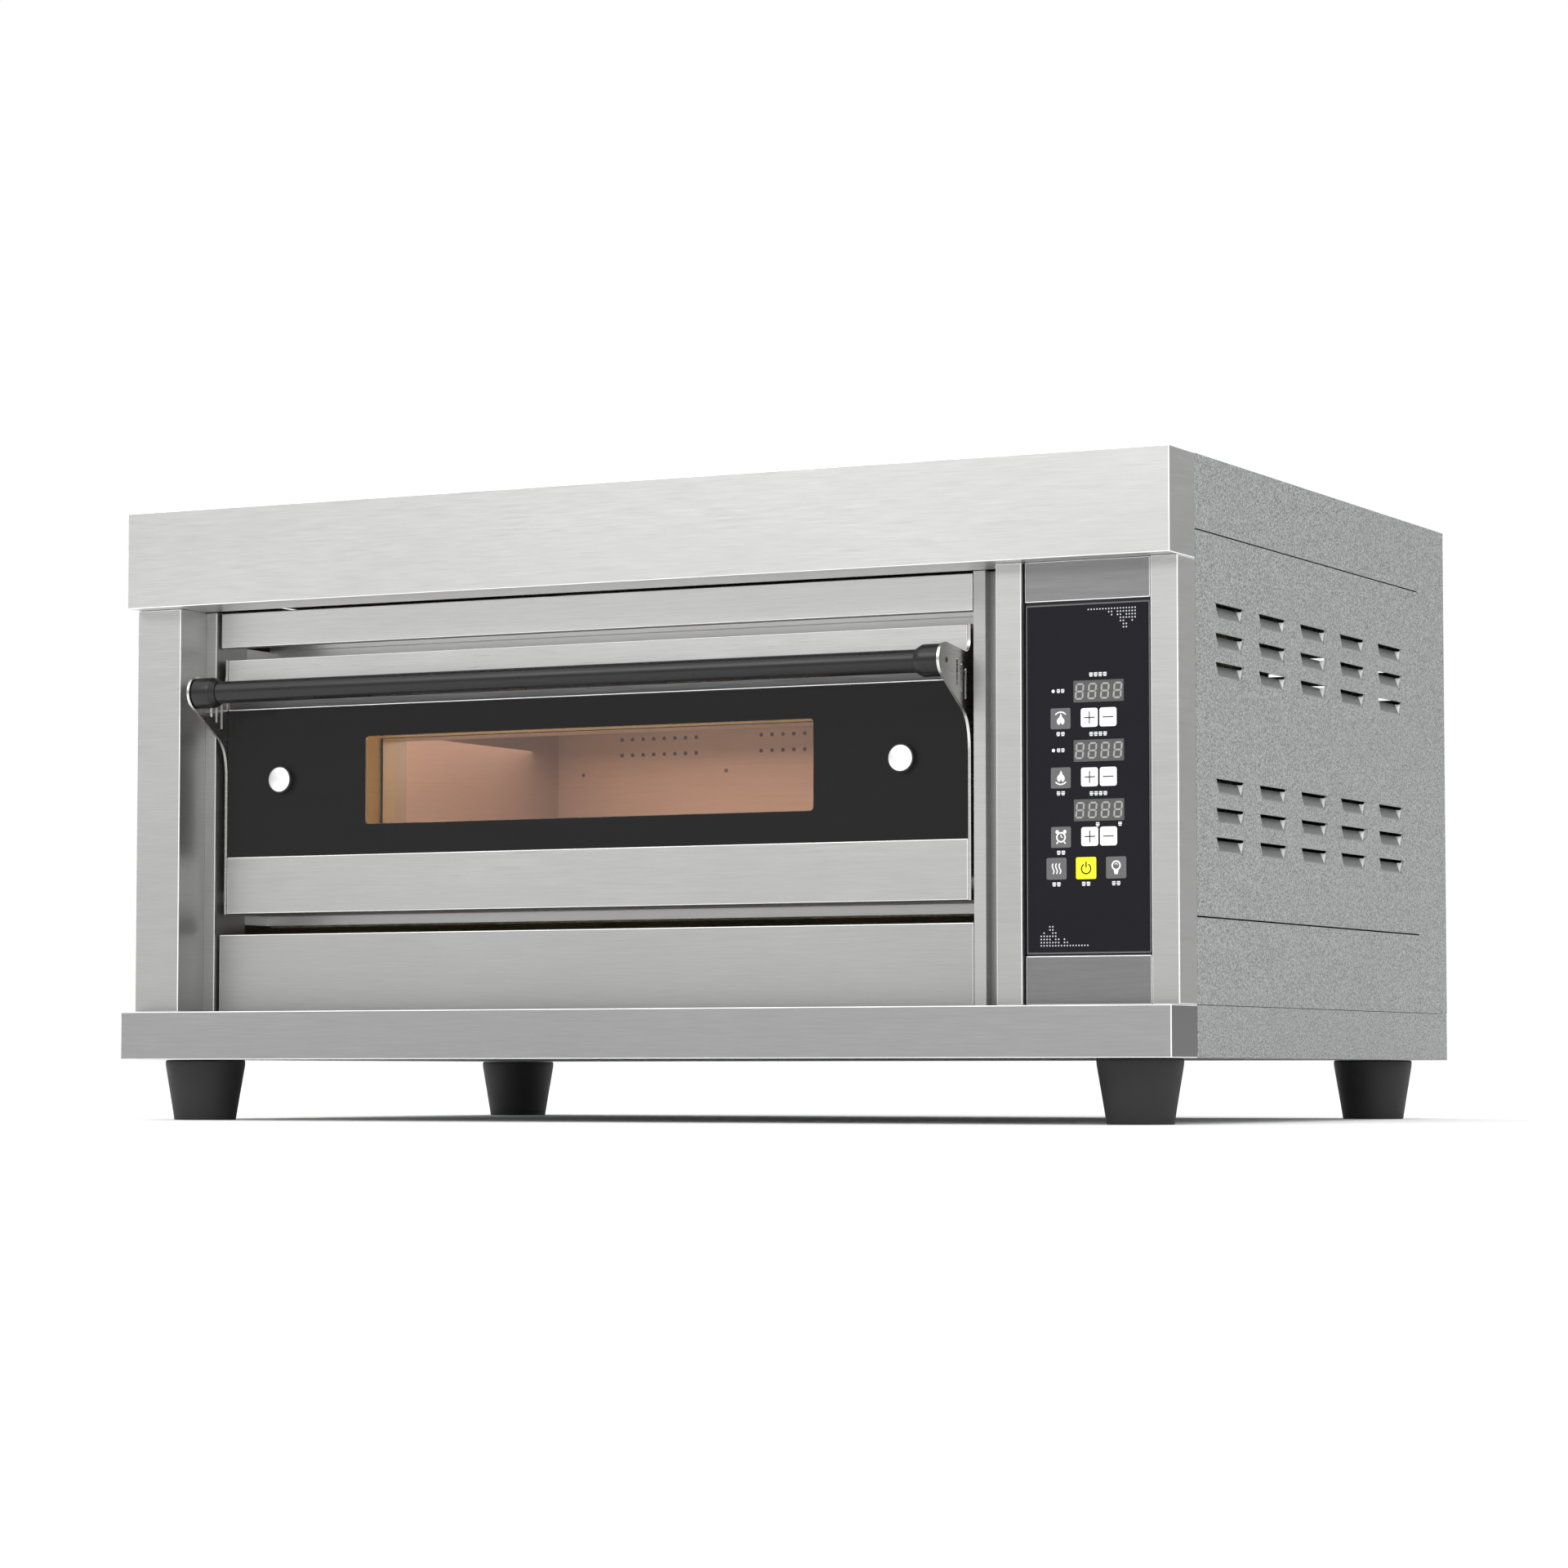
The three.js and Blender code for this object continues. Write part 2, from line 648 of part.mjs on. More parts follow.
// The inner shell of the door: rear skin, folded sides and the rear half of the window sleeve
function doorShell() {
  const front = doorFront + stripDepth + gap;
  const outside = block(skinLeft, skinRight, front, doorBack, doorBottom + gap, doorTop - gap);
  const inside = block(skinLeft + sheet, skinRight - sheet, front - 1, doorBack - sheet,
    doorBottom + gap + sheet, doorTop - gap - sheet);
  const through = block(windowBox.x0, windowBox.x1, innerGlass.y1, doorBack + 1,
    windowBox.z0, windowBox.z1);
  return cut(join(cut(outside, inside), windowTunnel(innerGlass.y1 + gap, doorBack)), through);
}

function doorGasket() {
  const band = 9;
  const outside = block(chamber.x0 - band, chamber.x1 + band, doorBack + gap, frameFront - 0.6,
    mouthBottom - band, chamber.z1 + band);
  return cut(outside, block(chamber.x0, chamber.x1, doorBack, frameFront, mouthBottom, chamber.z1));
}

const cap = { offset: 373, z: 368.5 };

function glassCap(x) {
  const profile = [[0, 0], [13, 0], [13, 2], [14.8, 2], [14.8, 6.8], [13.8, 7.8], [0, 7.8]];
  return turned(profile, 32).rotateX(Math.PI).translate(x, doorFront - gap, cap.z);
}

function handleTube() {
  const bore = 9.5;
  const length = skinRight - skinLeft;
  const profile = [[bore, 0], [handleRadius, 0], [handleRadius, length], [bore, length], [bore, 0]];
  return turned(profile, 32).rotateZ(-Math.PI / 2).translate(skinLeft, 0, handleZ);
}

function handleSleeve(side) {
  const bore = handleRadius + gap;
  const profile = [[bore, 0], [sleeveRadius - 1, 0], [sleeveRadius, 1], [sleeveRadius, 22],
    [bore + 1, 28], [bore, 28], [bore, 0]];
  const end = side < 0 ? skinLeft : skinRight;
  return turned(profile, 32).rotateZ(side * Math.PI / 2).translate(end, 0, handleZ);
}

// Assembly

add('hood_fascia', 'stainless', hoodFascia());
add('top_cover', 'hammertone', topCover());
add('rear_cover', 'hammertone', rearCover());
add('base_plinth', 'stainless', basePlinth());
add('base_tray', 'hammertone', baseTray());
for (const [side, name] of [[-1, 'left'], [1, 'right']]) {
  add(`side_panel_${name}`, 'hammertone', sidePanel(side));
  add(`lower_side_panel_${name}`, 'hammertone', lowerSidePanel(side));
  add(`foot_front_${name}`, 'rubber', foot(side * footPlace.x, footPlace.frontY));
  add(`foot_rear_${name}`, 'rubber', foot(side * footPlace.x, footPlace.rearY));
  add(`hinge_bearing_${name}`, 'galvanised', hingeBearing(side));
  add(`hinge_pin_${name}`, 'galvanised', hingePin(side));
  add(`door_spring_${name}`, 'galvanised', doorSpring(side));
  add(`handle_sleeve_${name}`, 'blackPlastic', handleSleeve(side));
  add(`glass_cap_${name}`, 'chrome', glassCap(doorCentre + side * cap.offset));
}
add('column_left', 'stainless', leftColumn());
add('column_right', 'stainless', channel(rightColumnEdge, halfWidth, returnEnd));
add('control_strip', 'stainless', channel(strip.x0, strip.x1, jambFront - gap));
add('jamb_left', 'stainless', leftJamb());
add('jamb_right', 'stainless', rightJamb());
add('upper_front_panel', 'stainless', fixedPanel(upperPanelBottom, hoodBottom - 1.5));
add('lower_front_panel', 'stainless', fixedPanel(columnBottom, lowerPanelTop));

add('chamber_front_frame', 'stainless', chamberFrontFrame());
add('chamber_liner', 'liner', chamberLiner());
add('hearth_stone', 'stone', hearthStone());
add('chamber_insulation', 'wool', insulation());
add('upper_heating_element', 'element', heatingElement(upperElementZ));
add('lower_heating_element', 'element', heatingElement(lowerElementZ));
add('upper_thermocouple', 'element', thermocouple(probe.upperZ));
add('lower_thermocouple', 'element', thermocouple(probe.lowerZ));
add('chamber_lamp', 'white', chamberLamp());
add('lamp_cover', 'clearGlass', lampCover());
add('steam_flue', 'galvanised', steamFlue());

add('control_upper_plate', 'stainless', coverPlate(bay.upperPlateBottom, columnTop));
add('control_lower_plate', 'stainless', coverPlate(columnBottom, bay.lowerPlateTop));
add('control_glass', 'blackGlass', controlGlass());
add('control_tray', 'blackPlastic', controlTray());
add('control_board', 'circuit', controlBoard());
add('power_contactor', 'blackPlastic', contactor());
add('terminal_block', 'white', terminalBlock());
add('cable_gland', 'blackPlastic', cableGland());

add('door_side_plate_left', 'stainless', sidePlate(doorLeft, doorLeft + plate));
add('door_side_plate_right', 'stainless', sidePlate(doorRight - plate, doorRight));
add('door_top_strip', 'stainless', doorStrip(glassTop + gap, doorTop - gap));
add('door_bottom_strip', 'stainless', doorStrip(doorBottom + gap, glassBottom - gap));
add('door_glass', 'blackGlass', doorGlass());
add('door_inner_glass', 'clearGlass', doorInnerGlass());
add('window_tunnel', 'stainless', windowTunnel(glassBack + gap, innerGlass.y0 - gap));
add('door_shell', 'galvanised', doorShell());
add('door_gasket', 'rubber', doorGasket());
add('handle_tube', 'blackPlastic', handleTube());

oven.position.y = -(plinthFront + bodyBack) / 2;

export default oven;
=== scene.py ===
"""Single-deck bakery oven: the looks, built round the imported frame. Metres, +Z up.

The sheet-metal nodes of the frame are kept, with softened edges and a procedural finish. Round, glazed,
printed and perforated pieces are built here and ride on the bodies of the frame.
"""
import math
import random

import bmesh
import bpy
from mathutils import Matrix, Vector


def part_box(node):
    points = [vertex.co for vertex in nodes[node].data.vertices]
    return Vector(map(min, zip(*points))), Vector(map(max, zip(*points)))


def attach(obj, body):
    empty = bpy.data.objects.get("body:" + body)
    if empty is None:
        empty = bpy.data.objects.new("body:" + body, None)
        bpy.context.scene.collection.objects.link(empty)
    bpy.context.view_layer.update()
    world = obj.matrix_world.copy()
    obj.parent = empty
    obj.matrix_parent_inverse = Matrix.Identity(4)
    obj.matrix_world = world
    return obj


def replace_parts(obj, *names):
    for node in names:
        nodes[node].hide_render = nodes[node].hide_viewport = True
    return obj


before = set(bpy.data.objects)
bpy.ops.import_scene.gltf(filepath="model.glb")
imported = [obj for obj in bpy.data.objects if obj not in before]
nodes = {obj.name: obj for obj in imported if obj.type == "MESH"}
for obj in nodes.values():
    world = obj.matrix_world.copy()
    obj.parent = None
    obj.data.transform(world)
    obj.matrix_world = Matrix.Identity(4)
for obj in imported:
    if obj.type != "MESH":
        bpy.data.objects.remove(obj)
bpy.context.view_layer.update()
MM = 0.001


# ---- nodes

def is_socket(value):
    return isinstance(value, bpy.types.NodeSocket)


def add_node(tree, kind, inputs, output=0, **settings):
    """Adds a shader node, fills its inputs by name or number, and returns one of its outputs."""
    node = tree.nodes.new("ShaderNode" + kind)
    for key, value in settings.items():
        setattr(node, key, value)
    for key, value in inputs.items():
        fill(tree, node.inputs[key], value)
    return node.outputs[output]


def fill(tree, socket, value):
    if is_socket(value):
        tree.links.new(value, socket)
    else:
        socket.default_value = value


# ---- camera, light and stage

def put_in_scene(name, data):
    item = bpy.data.objects.new(name, data)
    bpy.context.scene.collection.objects.link(item)
    return item


FOCAL_LENGTH, SENSOR_WIDTH = 104.73, 36          # mm
CAMERA_PLACE = (2.26425, -4.49375, 0.04756)
CAMERA_TILT, CAMERA_TURN = 93.6615, 26.897       # degrees


def make_camera():
    data = bpy.data.cameras.new("camera")
    data.lens, data.sensor_width = FOCAL_LENGTH, SENSOR_WIDTH
    camera = put_in_scene("camera", data)
    camera.location = CAMERA_PLACE
    camera.rotation_euler = (math.radians(CAMERA_TILT), 0, math.radians(CAMERA_TURN))
    bpy.context.scene.camera = camera


def make_softbox(name, location, target, size, power, color=(1, 1, 1), spread=180):
    """A rectangular lamp out of the camera's sight: size in metres, power in watts, spread in degrees."""
    data = bpy.data.lights.new(name, "AREA")
    data.shape = "RECTANGLE"
    data.size, data.size_y = size
    data.energy = power
    data.spread = math.radians(spread)
    data.color = color
    lamp = put_in_scene(name, data)
    lamp.location = location
    aim = Vector(target) - Vector(location)
    lamp.rotation_euler = aim.to_track_quat("-Z", "Y").to_euler()
    lamp.visible_camera = False
    lamp.visible_transmission = False


def make_world():
    """A pale studio: bright overhead, dim low down, with a soft wall in front and one to each side."""
    world = bpy.data.worlds.new("studio")
    bpy.context.scene.world = world
    world.use_nodes = True
    tree = world.node_tree
    background = tree.nodes["Background"]
    background.inputs["Color"].default_value = (1, 1, 1, 1)
    generated = add_node(tree, "TexCoord", {}, "Generated")

    def calc(operation, *values):
        return add_node(tree, "Math", dict(enumerate(values)), operation=operation)

    def along(direction):
        inputs = {0: generated, 1: Vector(direction).normalized()}
        return add_node(tree, "VectorMath", inputs, "Value", operation="DOT_PRODUCT")

    horizon, rise = 0.24, 1.5
    front_strength, front_focus = 0.24, 2.0
    side_strength, side_focus = 0.7, 6.0
    sky = calc("MULTIPLY_ADD", along((0, 0, 1)), rise, horizon)
    front = calc("MAXIMUM", along((-0.3, -1, 0.12)), 0.0)
    front_wall = calc("MULTIPLY", calc("POWER", front, front_focus), front_strength)
    sides = calc("ABSOLUTE", along((0.87, -0.48, 0.05)))
    side_walls = calc("MULTIPLY", calc("POWER", sides, side_focus), side_strength)
    total = calc("ADD", calc("ADD", sky, front_wall), side_walls)
    camera_ray = add_node(tree, "LightPath", {}, "Is Camera Ray")
    seen = calc("MULTIPLY", calc("SUBTRACT", 1.0, total), camera_ray)
    tree.links.new(calc("ADD", total, seen), background.inputs["Strength"])


def make_floor():
    side = 14
    mesh = bpy.data.meshes.new("floor")
    corners = [(x * side, y * side, 0) for x, y in ((-1, -1), (1, -1), (1, 1), (-1, 1))]
    mesh.from_pydata(corners, [], [(0, 1, 2, 3)])
    mesh.materials.append(Finish("floor_paint", grey(0.93), 0.9).material)
    floor = put_in_scene("floor", mesh)


# ---- finishes

class Finish:
    """A Principled material with short calls for its nodes. Textures run in the row frame, in metres."""

    def __init__(self, name, color, roughness, metallic=0.0, **sockets):
        self.material = bpy.data.materials.new(name)
        self.material.use_nodes = True
        self.tree = self.material.node_tree
        self.shader = self.tree.nodes["Principled BSDF"]
        self.coords = self.tree.nodes.new("ShaderNodeTexCoord")
        sockets.update(Roughness=roughness, Metallic=metallic, Base_Color=(*color, 1))
        for socket, value in sockets.items():
            self.set(socket.replace("_", " "), value)

    def node(self, kind, inputs, output=0, **settings):
        return add_node(self.tree, kind, inputs, output, **settings)

    def scaled(self, scale):
        """The Object coordinate times a scale: one number, or one for each axis."""
        if is_socket(scale):
            return scale
        scale = scale if isinstance(scale, tuple) else (scale, scale, scale)
        return self.node("Mapping", {"Vector": self.coords.outputs["Object"], "Scale": scale})

    def noise(self, scale, detail=2.0, roughness=0.5):
        inputs = {"Vector": self.scaled(scale), "Scale": 1, "Detail": detail, "Roughness": roughness}
        return self.node("TexNoise", inputs, "Fac")

    def cells(self, scale):
        return self.node("TexVoronoi", {"Vector": self.scaled(scale), "Scale": 1}, "Distance")

    def spread(self, value, low, high, from_low=0.3, from_high=0.7):
        """Maps a texture value onto low to high."""
        inputs = {"Value": value, "From Min": from_low, "From Max": from_high, "To Min": low, "To Max": high}
        return self.node("MapRange", inputs, "Result")

    def split(self, coordinate):
        """The X, Y and Z of the Object or Normal coordinate."""
        return self.node("SeparateXYZ", {0: self.coords.outputs[coordinate]}).node.outputs

    def calc(self, operation, first, second):
        return self.node("Math", {0: first, 1: second}, operation=operation)

    def blend(self, factor, low, high):
        low, high = (color if is_socket(color) else (*color, 1) for color in (low, high))
        return self.node("Mix", {0: factor, 6: low, 7: high}, 2, data_type="RGBA")

    def paint(self, factor, low, high):
        self.set("Base Color", self.blend(factor, low, high))

    def rough(self, value, low, high):
        self.set("Roughness", self.spread(value, low, high))

    def height(self, value, strength, distance):
        inputs = {"Height": value, "Strength": strength, "Distance": distance}
        self.set("Normal", self.node("Bump", inputs, "Normal"))

    def set(self, socket, value):
        fill(self.tree, self.shader.inputs[socket], value)

    def glow(self, color, strength):
        self.set("Emission Color", (*color, 1))
        self.set("Emission Strength", strength)


def shade(color, factor):
    return tuple(min(1.0, channel * factor) for channel in color)


def grey(tone):
    return tone, tone, tone


def brushed(name, color, roughness, contrast=0.07, ramp=None, side_shade=1.0):
    """Brushed stainless: long fine streaks along the sheet and a faint cloud over it.

    A ramp (axis, start, end, tone at start, tone at end) paints shade into the sheet along one axis, and a
    side factor paints the folds that face sideways darker: both are painted shade.
    """
    finish = Finish(name, color, roughness, 1.0)
    along, across = 20, 1100
    flat = finish.scaled((along, across, across))
    wall = finish.scaled((along, along, across))
    normal = finish.split("Normal")
    level = finish.calc("GREATER_THAN", finish.calc("ABSOLUTE", normal["Z"], 0.0), 0.7)
    direction = finish.node("Mix", {0: level, 4: wall, 5: flat}, 1, data_type="VECTOR")
    streaks = finish.noise(direction, detail=4, roughness=0.75)
    cloud = finish.noise((3, 3, 7))
    grain = finish.spread(streaks, 1 - contrast, 1 + contrast)
    patch = finish.spread(cloud, 0.975, 1.025)
    tone = finish.calc("MULTIPLY", grain, patch)
    if ramp:
        axis, start, end, low, high = ramp
        shading = finish.spread(finish.split("Object")[axis], low, high, start, end)
        tone = finish.calc("MULTIPLY", tone, shading)
    if side_shade != 1.0:
        sideways = finish.calc("ABSOLUTE", normal["X"], 0.0)
        tone = finish.calc("MULTIPLY", tone, finish.spread(sideways, 1.0, side_shade, 0.5, 0.9))
    tint = finish.node("VectorMath", {0: color, "Scale": tone}, "Vector", operation="SCALE")
    finish.set("Base Color", tint)
    finish.rough(streaks, roughness - 0.05, roughness + 0.06)
    finish.height(streaks, 0.05, 0.00015)
    return finish.material


def hammertone(name, pocket=None):
    """Grey hammertone paint: a fine salt-and-pepper grain over shallow dimples.

    With pocket = (floor, face) painted shade darkens the paint from the face of a side panel down to the
    floor of its louvres, and the end walls of the louvres that face forward get a painted highlight.
    """
    finish = Finish(name, (0.36, 0.375, 0.37), 0.5, 0.25)
    grain = finish.noise(530, detail=4, roughness=0.85)
    dimples = finish.cells(260)
    cloud = finish.noise(5)
    dark, light = (0.075, 0.08, 0.079), (0.52, 0.54, 0.532)
    speckle = finish.blend(finish.spread(grain, 0, 1, 0.39, 0.61), dark, light)
    wear_and_painted_light = finish.blend(finish.spread(cloud, 0.0, 0.16), speckle, (0.265, 0.277, 0.273))
    if pocket:
        place, facing = finish.split("Object"), finish.split("Normal")
        depth = finish.calc("ABSOLUTE", place["X"], 0.0)
        inside = finish.spread(depth, 1.0, 0.0, *pocket)
        forward = finish.spread(facing["Y"], 0.0, 1.0, -0.3, -0.8)
        # Painted shade deep in the louvres, then a painted highlight on their end walls that face forward.
        shaded = finish.blend(finish.calc("MULTIPLY", inside, 0.72), wear_and_painted_light, (0.085, 0.09, 0.088))
        wear_and_painted_light = finish.blend(finish.calc("MULTIPLY", forward, inside), shaded, (0.95, 0.96, 0.955))
    finish.set("Base Color", wear_and_painted_light)
    finish.rough(grain, 0.38, 0.58)
    both = finish.calc("ADD", finish.calc("MULTIPLY", dimples, 0.4), grain)
    finish.height(both, 0.5, 0.0004)
    return finish.material


def moulded(name, color, roughness, scale=900, bumps=0.12):
    """Moulded plastic, rubber or ceramic: a fine even texture and slight changes of tone."""
    finish = Finish(name, color, roughness)
    grain = finish.noise(scale)
    cloud = finish.noise(30, detail=3)
    tones = shade(color, 0.86), shade(color, 1.14)
    finish.paint(finish.spread(cloud, 0, 1), *tones)
    finish.rough(cloud, roughness - 0.04, roughness + 0.05)
    finish.height(grain, bumps, 0.0001)
    return finish.material


def satin_black():
    """Satin black coating of the handle, with a very fine orange peel."""
    finish = Finish("satin_black", (0.009, 0.009, 0.010), 0.28, Specular_IOR_Level=0.4)
    peel = finish.noise(420)
    smear = finish.noise((14, 60, 60), detail=3)
    finish.rough(smear, 0.25, 0.33)
    finish.paint(smear, (0.007, 0.007, 0.008), (0.011, 0.011, 0.012))
    finish.height(peel, 0.04, 0.0001)
    return finish.material


def polished(name, color, roughness):
    """Polished metal under a faint haze."""
    finish = Finish(name, color, roughness, 1.0)
    haze = finish.noise(120, detail=3)
    finish.rough(haze, roughness, roughness + 0.04)
    finish.paint(haze, shade(color, 0.97), color)
    return finish.material


def printed_glass(name, color, haze_low=0.10, haze_high=0.15, glow=0.0):
    """Glass printed on its back: deep colour under a clean gloss, with faint smears.

    A little glow is painted light: it keeps the glass evenly lit where shadows would fall on it.
    """
    finish = Finish(name, color, haze_low, Specular_IOR_Level=0.15)
    smear = finish.noise((7, 7, 19), detail=4, roughness=0.6)
    finish.paint(smear, shade(color, 0.94), shade(color, 1.06))
    finish.rough(smear, haze_low, haze_high)
    finish.glow(color, glow)
    return finish.material


def clear_glass(name, color):
    """Clear glass with faint smears."""
    finish = Finish(name, color, 0.0, Transmission_Weight=1.0, IOR=1.45)
    smear = finish.noise((9, 9, 25), detail=3)
    finish.paint(smear, shade(color, 0.97), color)
    return finish.material


def warm_steel(name, color, roughness=0.55):
    """Stainless that heat has tinted: the brushing shows through straw and brown clouds."""
    finish = Finish(name, color, roughness, 0.55)
    streaks = finish.noise((18, 18, 700), detail=3, roughness=0.7)
    cloud = finish.noise((4, 4, 6), detail=3)
    straw = (color[0] * 1.08, color[1] * 0.96, color[2] * 0.82)
    tinted = finish.blend(finish.spread(cloud, 0, 1), color, straw)
    finish.paint(finish.spread(streaks, 0, 0.14), tinted, shade(color, 0.7))
    finish.rough(streaks, roughness - 0.04, roughness + 0.08)
    finish.height(streaks, 0.04, 0.0002)
    return finish.material


def refractory():
    """Fired hearth stone: sandy grain with darker flecks and baking stains."""
    finish = Finish("refractory", (0.52, 0.44, 0.35), 0.9)
    grain = finish.noise(700, detail=3, roughness=0.7)
    flecks = finish.cells(190)
    stain = finish.noise(9, detail=4)
    sand = finish.blend(finish.spread(grain, 0, 1), (0.44, 0.37, 0.29), (0.62, 0.54, 0.44))
    stained = finish.blend(finish.spread(stain, 0, 0.5), sand, (0.27, 0.19, 0.13))
    fleck = finish.spread(flecks, 0.5, 0, 0.05, 0.2)
    finish.paint(fleck, stained, (0.2, 0.16, 0.12))
    finish.height(grain, 0.4, 0.0004)
    return finish.material


def wool():
    """Pressed mineral wool: matted fibres, yellow-brown."""
    finish = Finish("mineral_wool", (0.6, 0.52, 0.3), 0.95)
    fibres = finish.noise((500, 90, 500), detail=5, roughness=0.8)
    felt = finish.noise(60, detail=4)
    mixed = finish.calc("MULTIPLY", fibres, felt)
    strand = finish.spread(mixed, 0, 1, 0.15, 0.4)
    finish.paint(strand, (0.4, 0.33, 0.17), (0.74, 0.67, 0.44))
    finish.height(mixed, 0.9, 0.003)
    return finish.material


def oxidised():
    """Heating element tube and probes: dark oxide with a bluish and brown bloom."""
    finish = Finish("oxidised_tube", (0.09, 0.08, 0.075), 0.55, 0.7)
    bloom = finish.noise(25, detail=4)
    oxide = finish.spread(bloom, 0, 1)
    finish.paint(oxide, (0.06, 0.06, 0.07), (0.15, 0.11, 0.085))
    finish.height(finish.noise(900), 0.15, 0.0002)
    return finish.material


def solder_mask():
    """Green lacquer of a circuit board, with a hint of tracks under it."""
    finish = Finish("solder_mask", (0.02, 0.14, 0.06), 0.4, Coat_Weight=0.3)
    tracks = finish.cells(140)
    track = finish.spread(tracks, 0, 1, 0.2, 0.3)
    finish.paint(track, (0.03, 0.2, 0.09), (0.015, 0.12, 0.05))
    finish.height(tracks, 0.1, 0.0002)
    return finish.material


def ink(name, color, roughness=0.35, glow=0.0):
    """Print under glass. Its tone varies slightly, as screen print does."""
    finish = Finish(name, color, roughness)
    grain = finish.noise(900)
    finish.paint(grain, shade(color, 0.96), color)
    # A glow is painted light, except on the lamp's bulb.
    finish.glow(color, glow)
    return finish.material


# ---- mesh helpers

UPRIGHT = Matrix(((1, 0, 0), (0, 0, -1), (0, 1, 0))).to_4x4()     # drawn (x, y) becomes (X, Z)
FACING = Vector((0, -1, 0))
FLAT = 12                        # smooth angle in degrees for flat sheets with chamfered edges


def piece(name, mesh, material, body, smooth_angle=35):
    """Links a finished mesh as a piece of the oven."""
    item = put_in_scene(name, mesh)
    mesh.materials.clear()
    mesh.materials.append(material)
    mesh.shade_smooth()
    mesh.set_sharp_from_angle(angle=math.radians(smooth_angle))
    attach(item, body)
    return item


def mesh_of(curve):
    """Turns a curve into a mesh and removes the curve."""
    holder = put_in_scene(curve.name, curve)
    solved = holder.evaluated_get(bpy.context.evaluated_depsgraph_get())
    mesh = bpy.data.meshes.new_from_object(solved)
    bpy.data.objects.remove(holder)
    bpy.data.curves.remove(curve)
    return mesh


def mesh_from(work, name):
    """Writes a bmesh into a new mesh and frees it."""
    mesh = bpy.data.meshes.new(name)
    work.to_mesh(mesh)
    work.free()
    return mesh


def merged(name, parts):
    """One mesh out of several, which are removed."""
    work = bmesh.new()
    for part in parts:
        work.from_mesh(part)
        bpy.data.meshes.remove(part)
    return mesh_from(work, name)


def cut_out(name, outlines, depth, front, edge=0.0):
    """A flat sheet facing -Y: the first outline less the ones inside it. Its front face lies at front."""
    curve = bpy.data.curves.new(name, "CURVE")
    curve.dimensions = "2D"
    curve.fill_mode = "BOTH"
    curve.extrude = depth / 2 - edge
    curve.bevel_depth = edge
    curve.bevel_resolution = 1
    curve.offset = -edge
    for outline in outlines:
        spline = curve.splines.new("POLY")
        spline.points.add(len(outline) - 1)
        for point, (x, y) in zip(spline.points, outline):
            point.co = (x, y, 0, 1)
        spline.use_cyclic_u = True
    mesh = mesh_of(curve)
    mesh.transform(Matrix.Translation(Vector(front) - FACING * depth / 2) @ UPRIGHT)
    weld(mesh)
    return mesh


def slab(name, centre, width, height, radius, front, depth, edge):
    """A closed pane with rounded corners and small chamfers, facing -Y. Its front face lies at front."""
    work = bmesh.new()
    rings = []
    for inset, y in ((edge, 0), (0, edge), (0, depth - edge), (edge, depth)):
        outline = rounded_box(centre, width - 2 * inset, height - 2 * inset, radius - inset, 8)
        rings.append([work.verts.new((x, front + y, z)) for x, z in outline])
    count = len(rings[0])
    for near, far in zip(rings, rings[1:]):
        for i in range(count):
            work.faces.new((near[i], near[(i + 1) % count], far[(i + 1) % count], far[i]))
    work.faces.new(rings[0])
    work.faces.new(rings[-1])
    bmesh.ops.recalc_face_normals(work, faces=work.faces)
    return mesh_from(work, name)


def weld(mesh):
    """Joins the seams that a filled curve leaves."""
    work = bmesh.new()
    work.from_mesh(mesh)
    bmesh.ops.remove_doubles(work, verts=work.verts, dist=2e-6)
    bmesh.ops.recalc_face_normals(work, faces=work.faces)
    work.to_mesh(mesh)
    work.free()


def arc(centre, radius, start, end, steps=12):
    """Points on an arc, angles in degrees."""
    angles = [math.radians(start + (end - start) * step / steps) for step in range(steps + 1)]
    return [(centre[0] + radius * math.cos(a), centre[1] + radius * math.sin(a)) for a in angles]


def circle(centre, radius, steps=24):
    return arc(centre, radius, 0, 360 - 360 / steps, steps - 1)


def rounded_box(centre, width, height, radius, steps=5):
    x, y = width / 2 - radius, height / 2 - radius
    corners = ((x, y, 0), (-x, y, 90), (-x, -y, 180), (x, -y, 270))
    return [point for cx, cy, start in corners
            for point in arc((centre[0] + cx, centre[1] + cy), radius, start, start + 90, steps)]


def bar(start, end, width):
    """A straight stroke as an outline."""
    a, b = Vector(start), Vector(end)
    side = (b - a).normalized().orthogonal() * width / 2
    return [tuple(a + side), tuple(a - side), tuple(b - side), tuple(b + side)]


def band(centre, radius, width, start, end, steps=16):
    """A curved stroke as an outline."""
    outside = arc(centre, radius + width / 2, start, end, steps)
    inside = arc(centre, radius - width / 2, end, start, steps)
    return outside + inside


def fillet(profile, radius):
    """Rounds the inner corners of an open line of points, each in four steps."""
    points = [Vector(point) for point in profile]
    done = [tuple(points[0])]
    for before, corner, after in zip(points, points[1:], points[2:]):
        reach = min(radius, (before - corner).length * 0.45, (after - corner).length * 0.45)
        start = corner + (before - corner).normalized() * reach
        end = corner + (after - corner).normalized() * reach
        for t in (0, 0.25, 0.5, 0.75, 1):
            done.append(tuple(start * (1 - t) ** 2 + corner * 2 * t * (1 - t) + end * t ** 2))
    done.append(tuple(points[-1]))
    return done


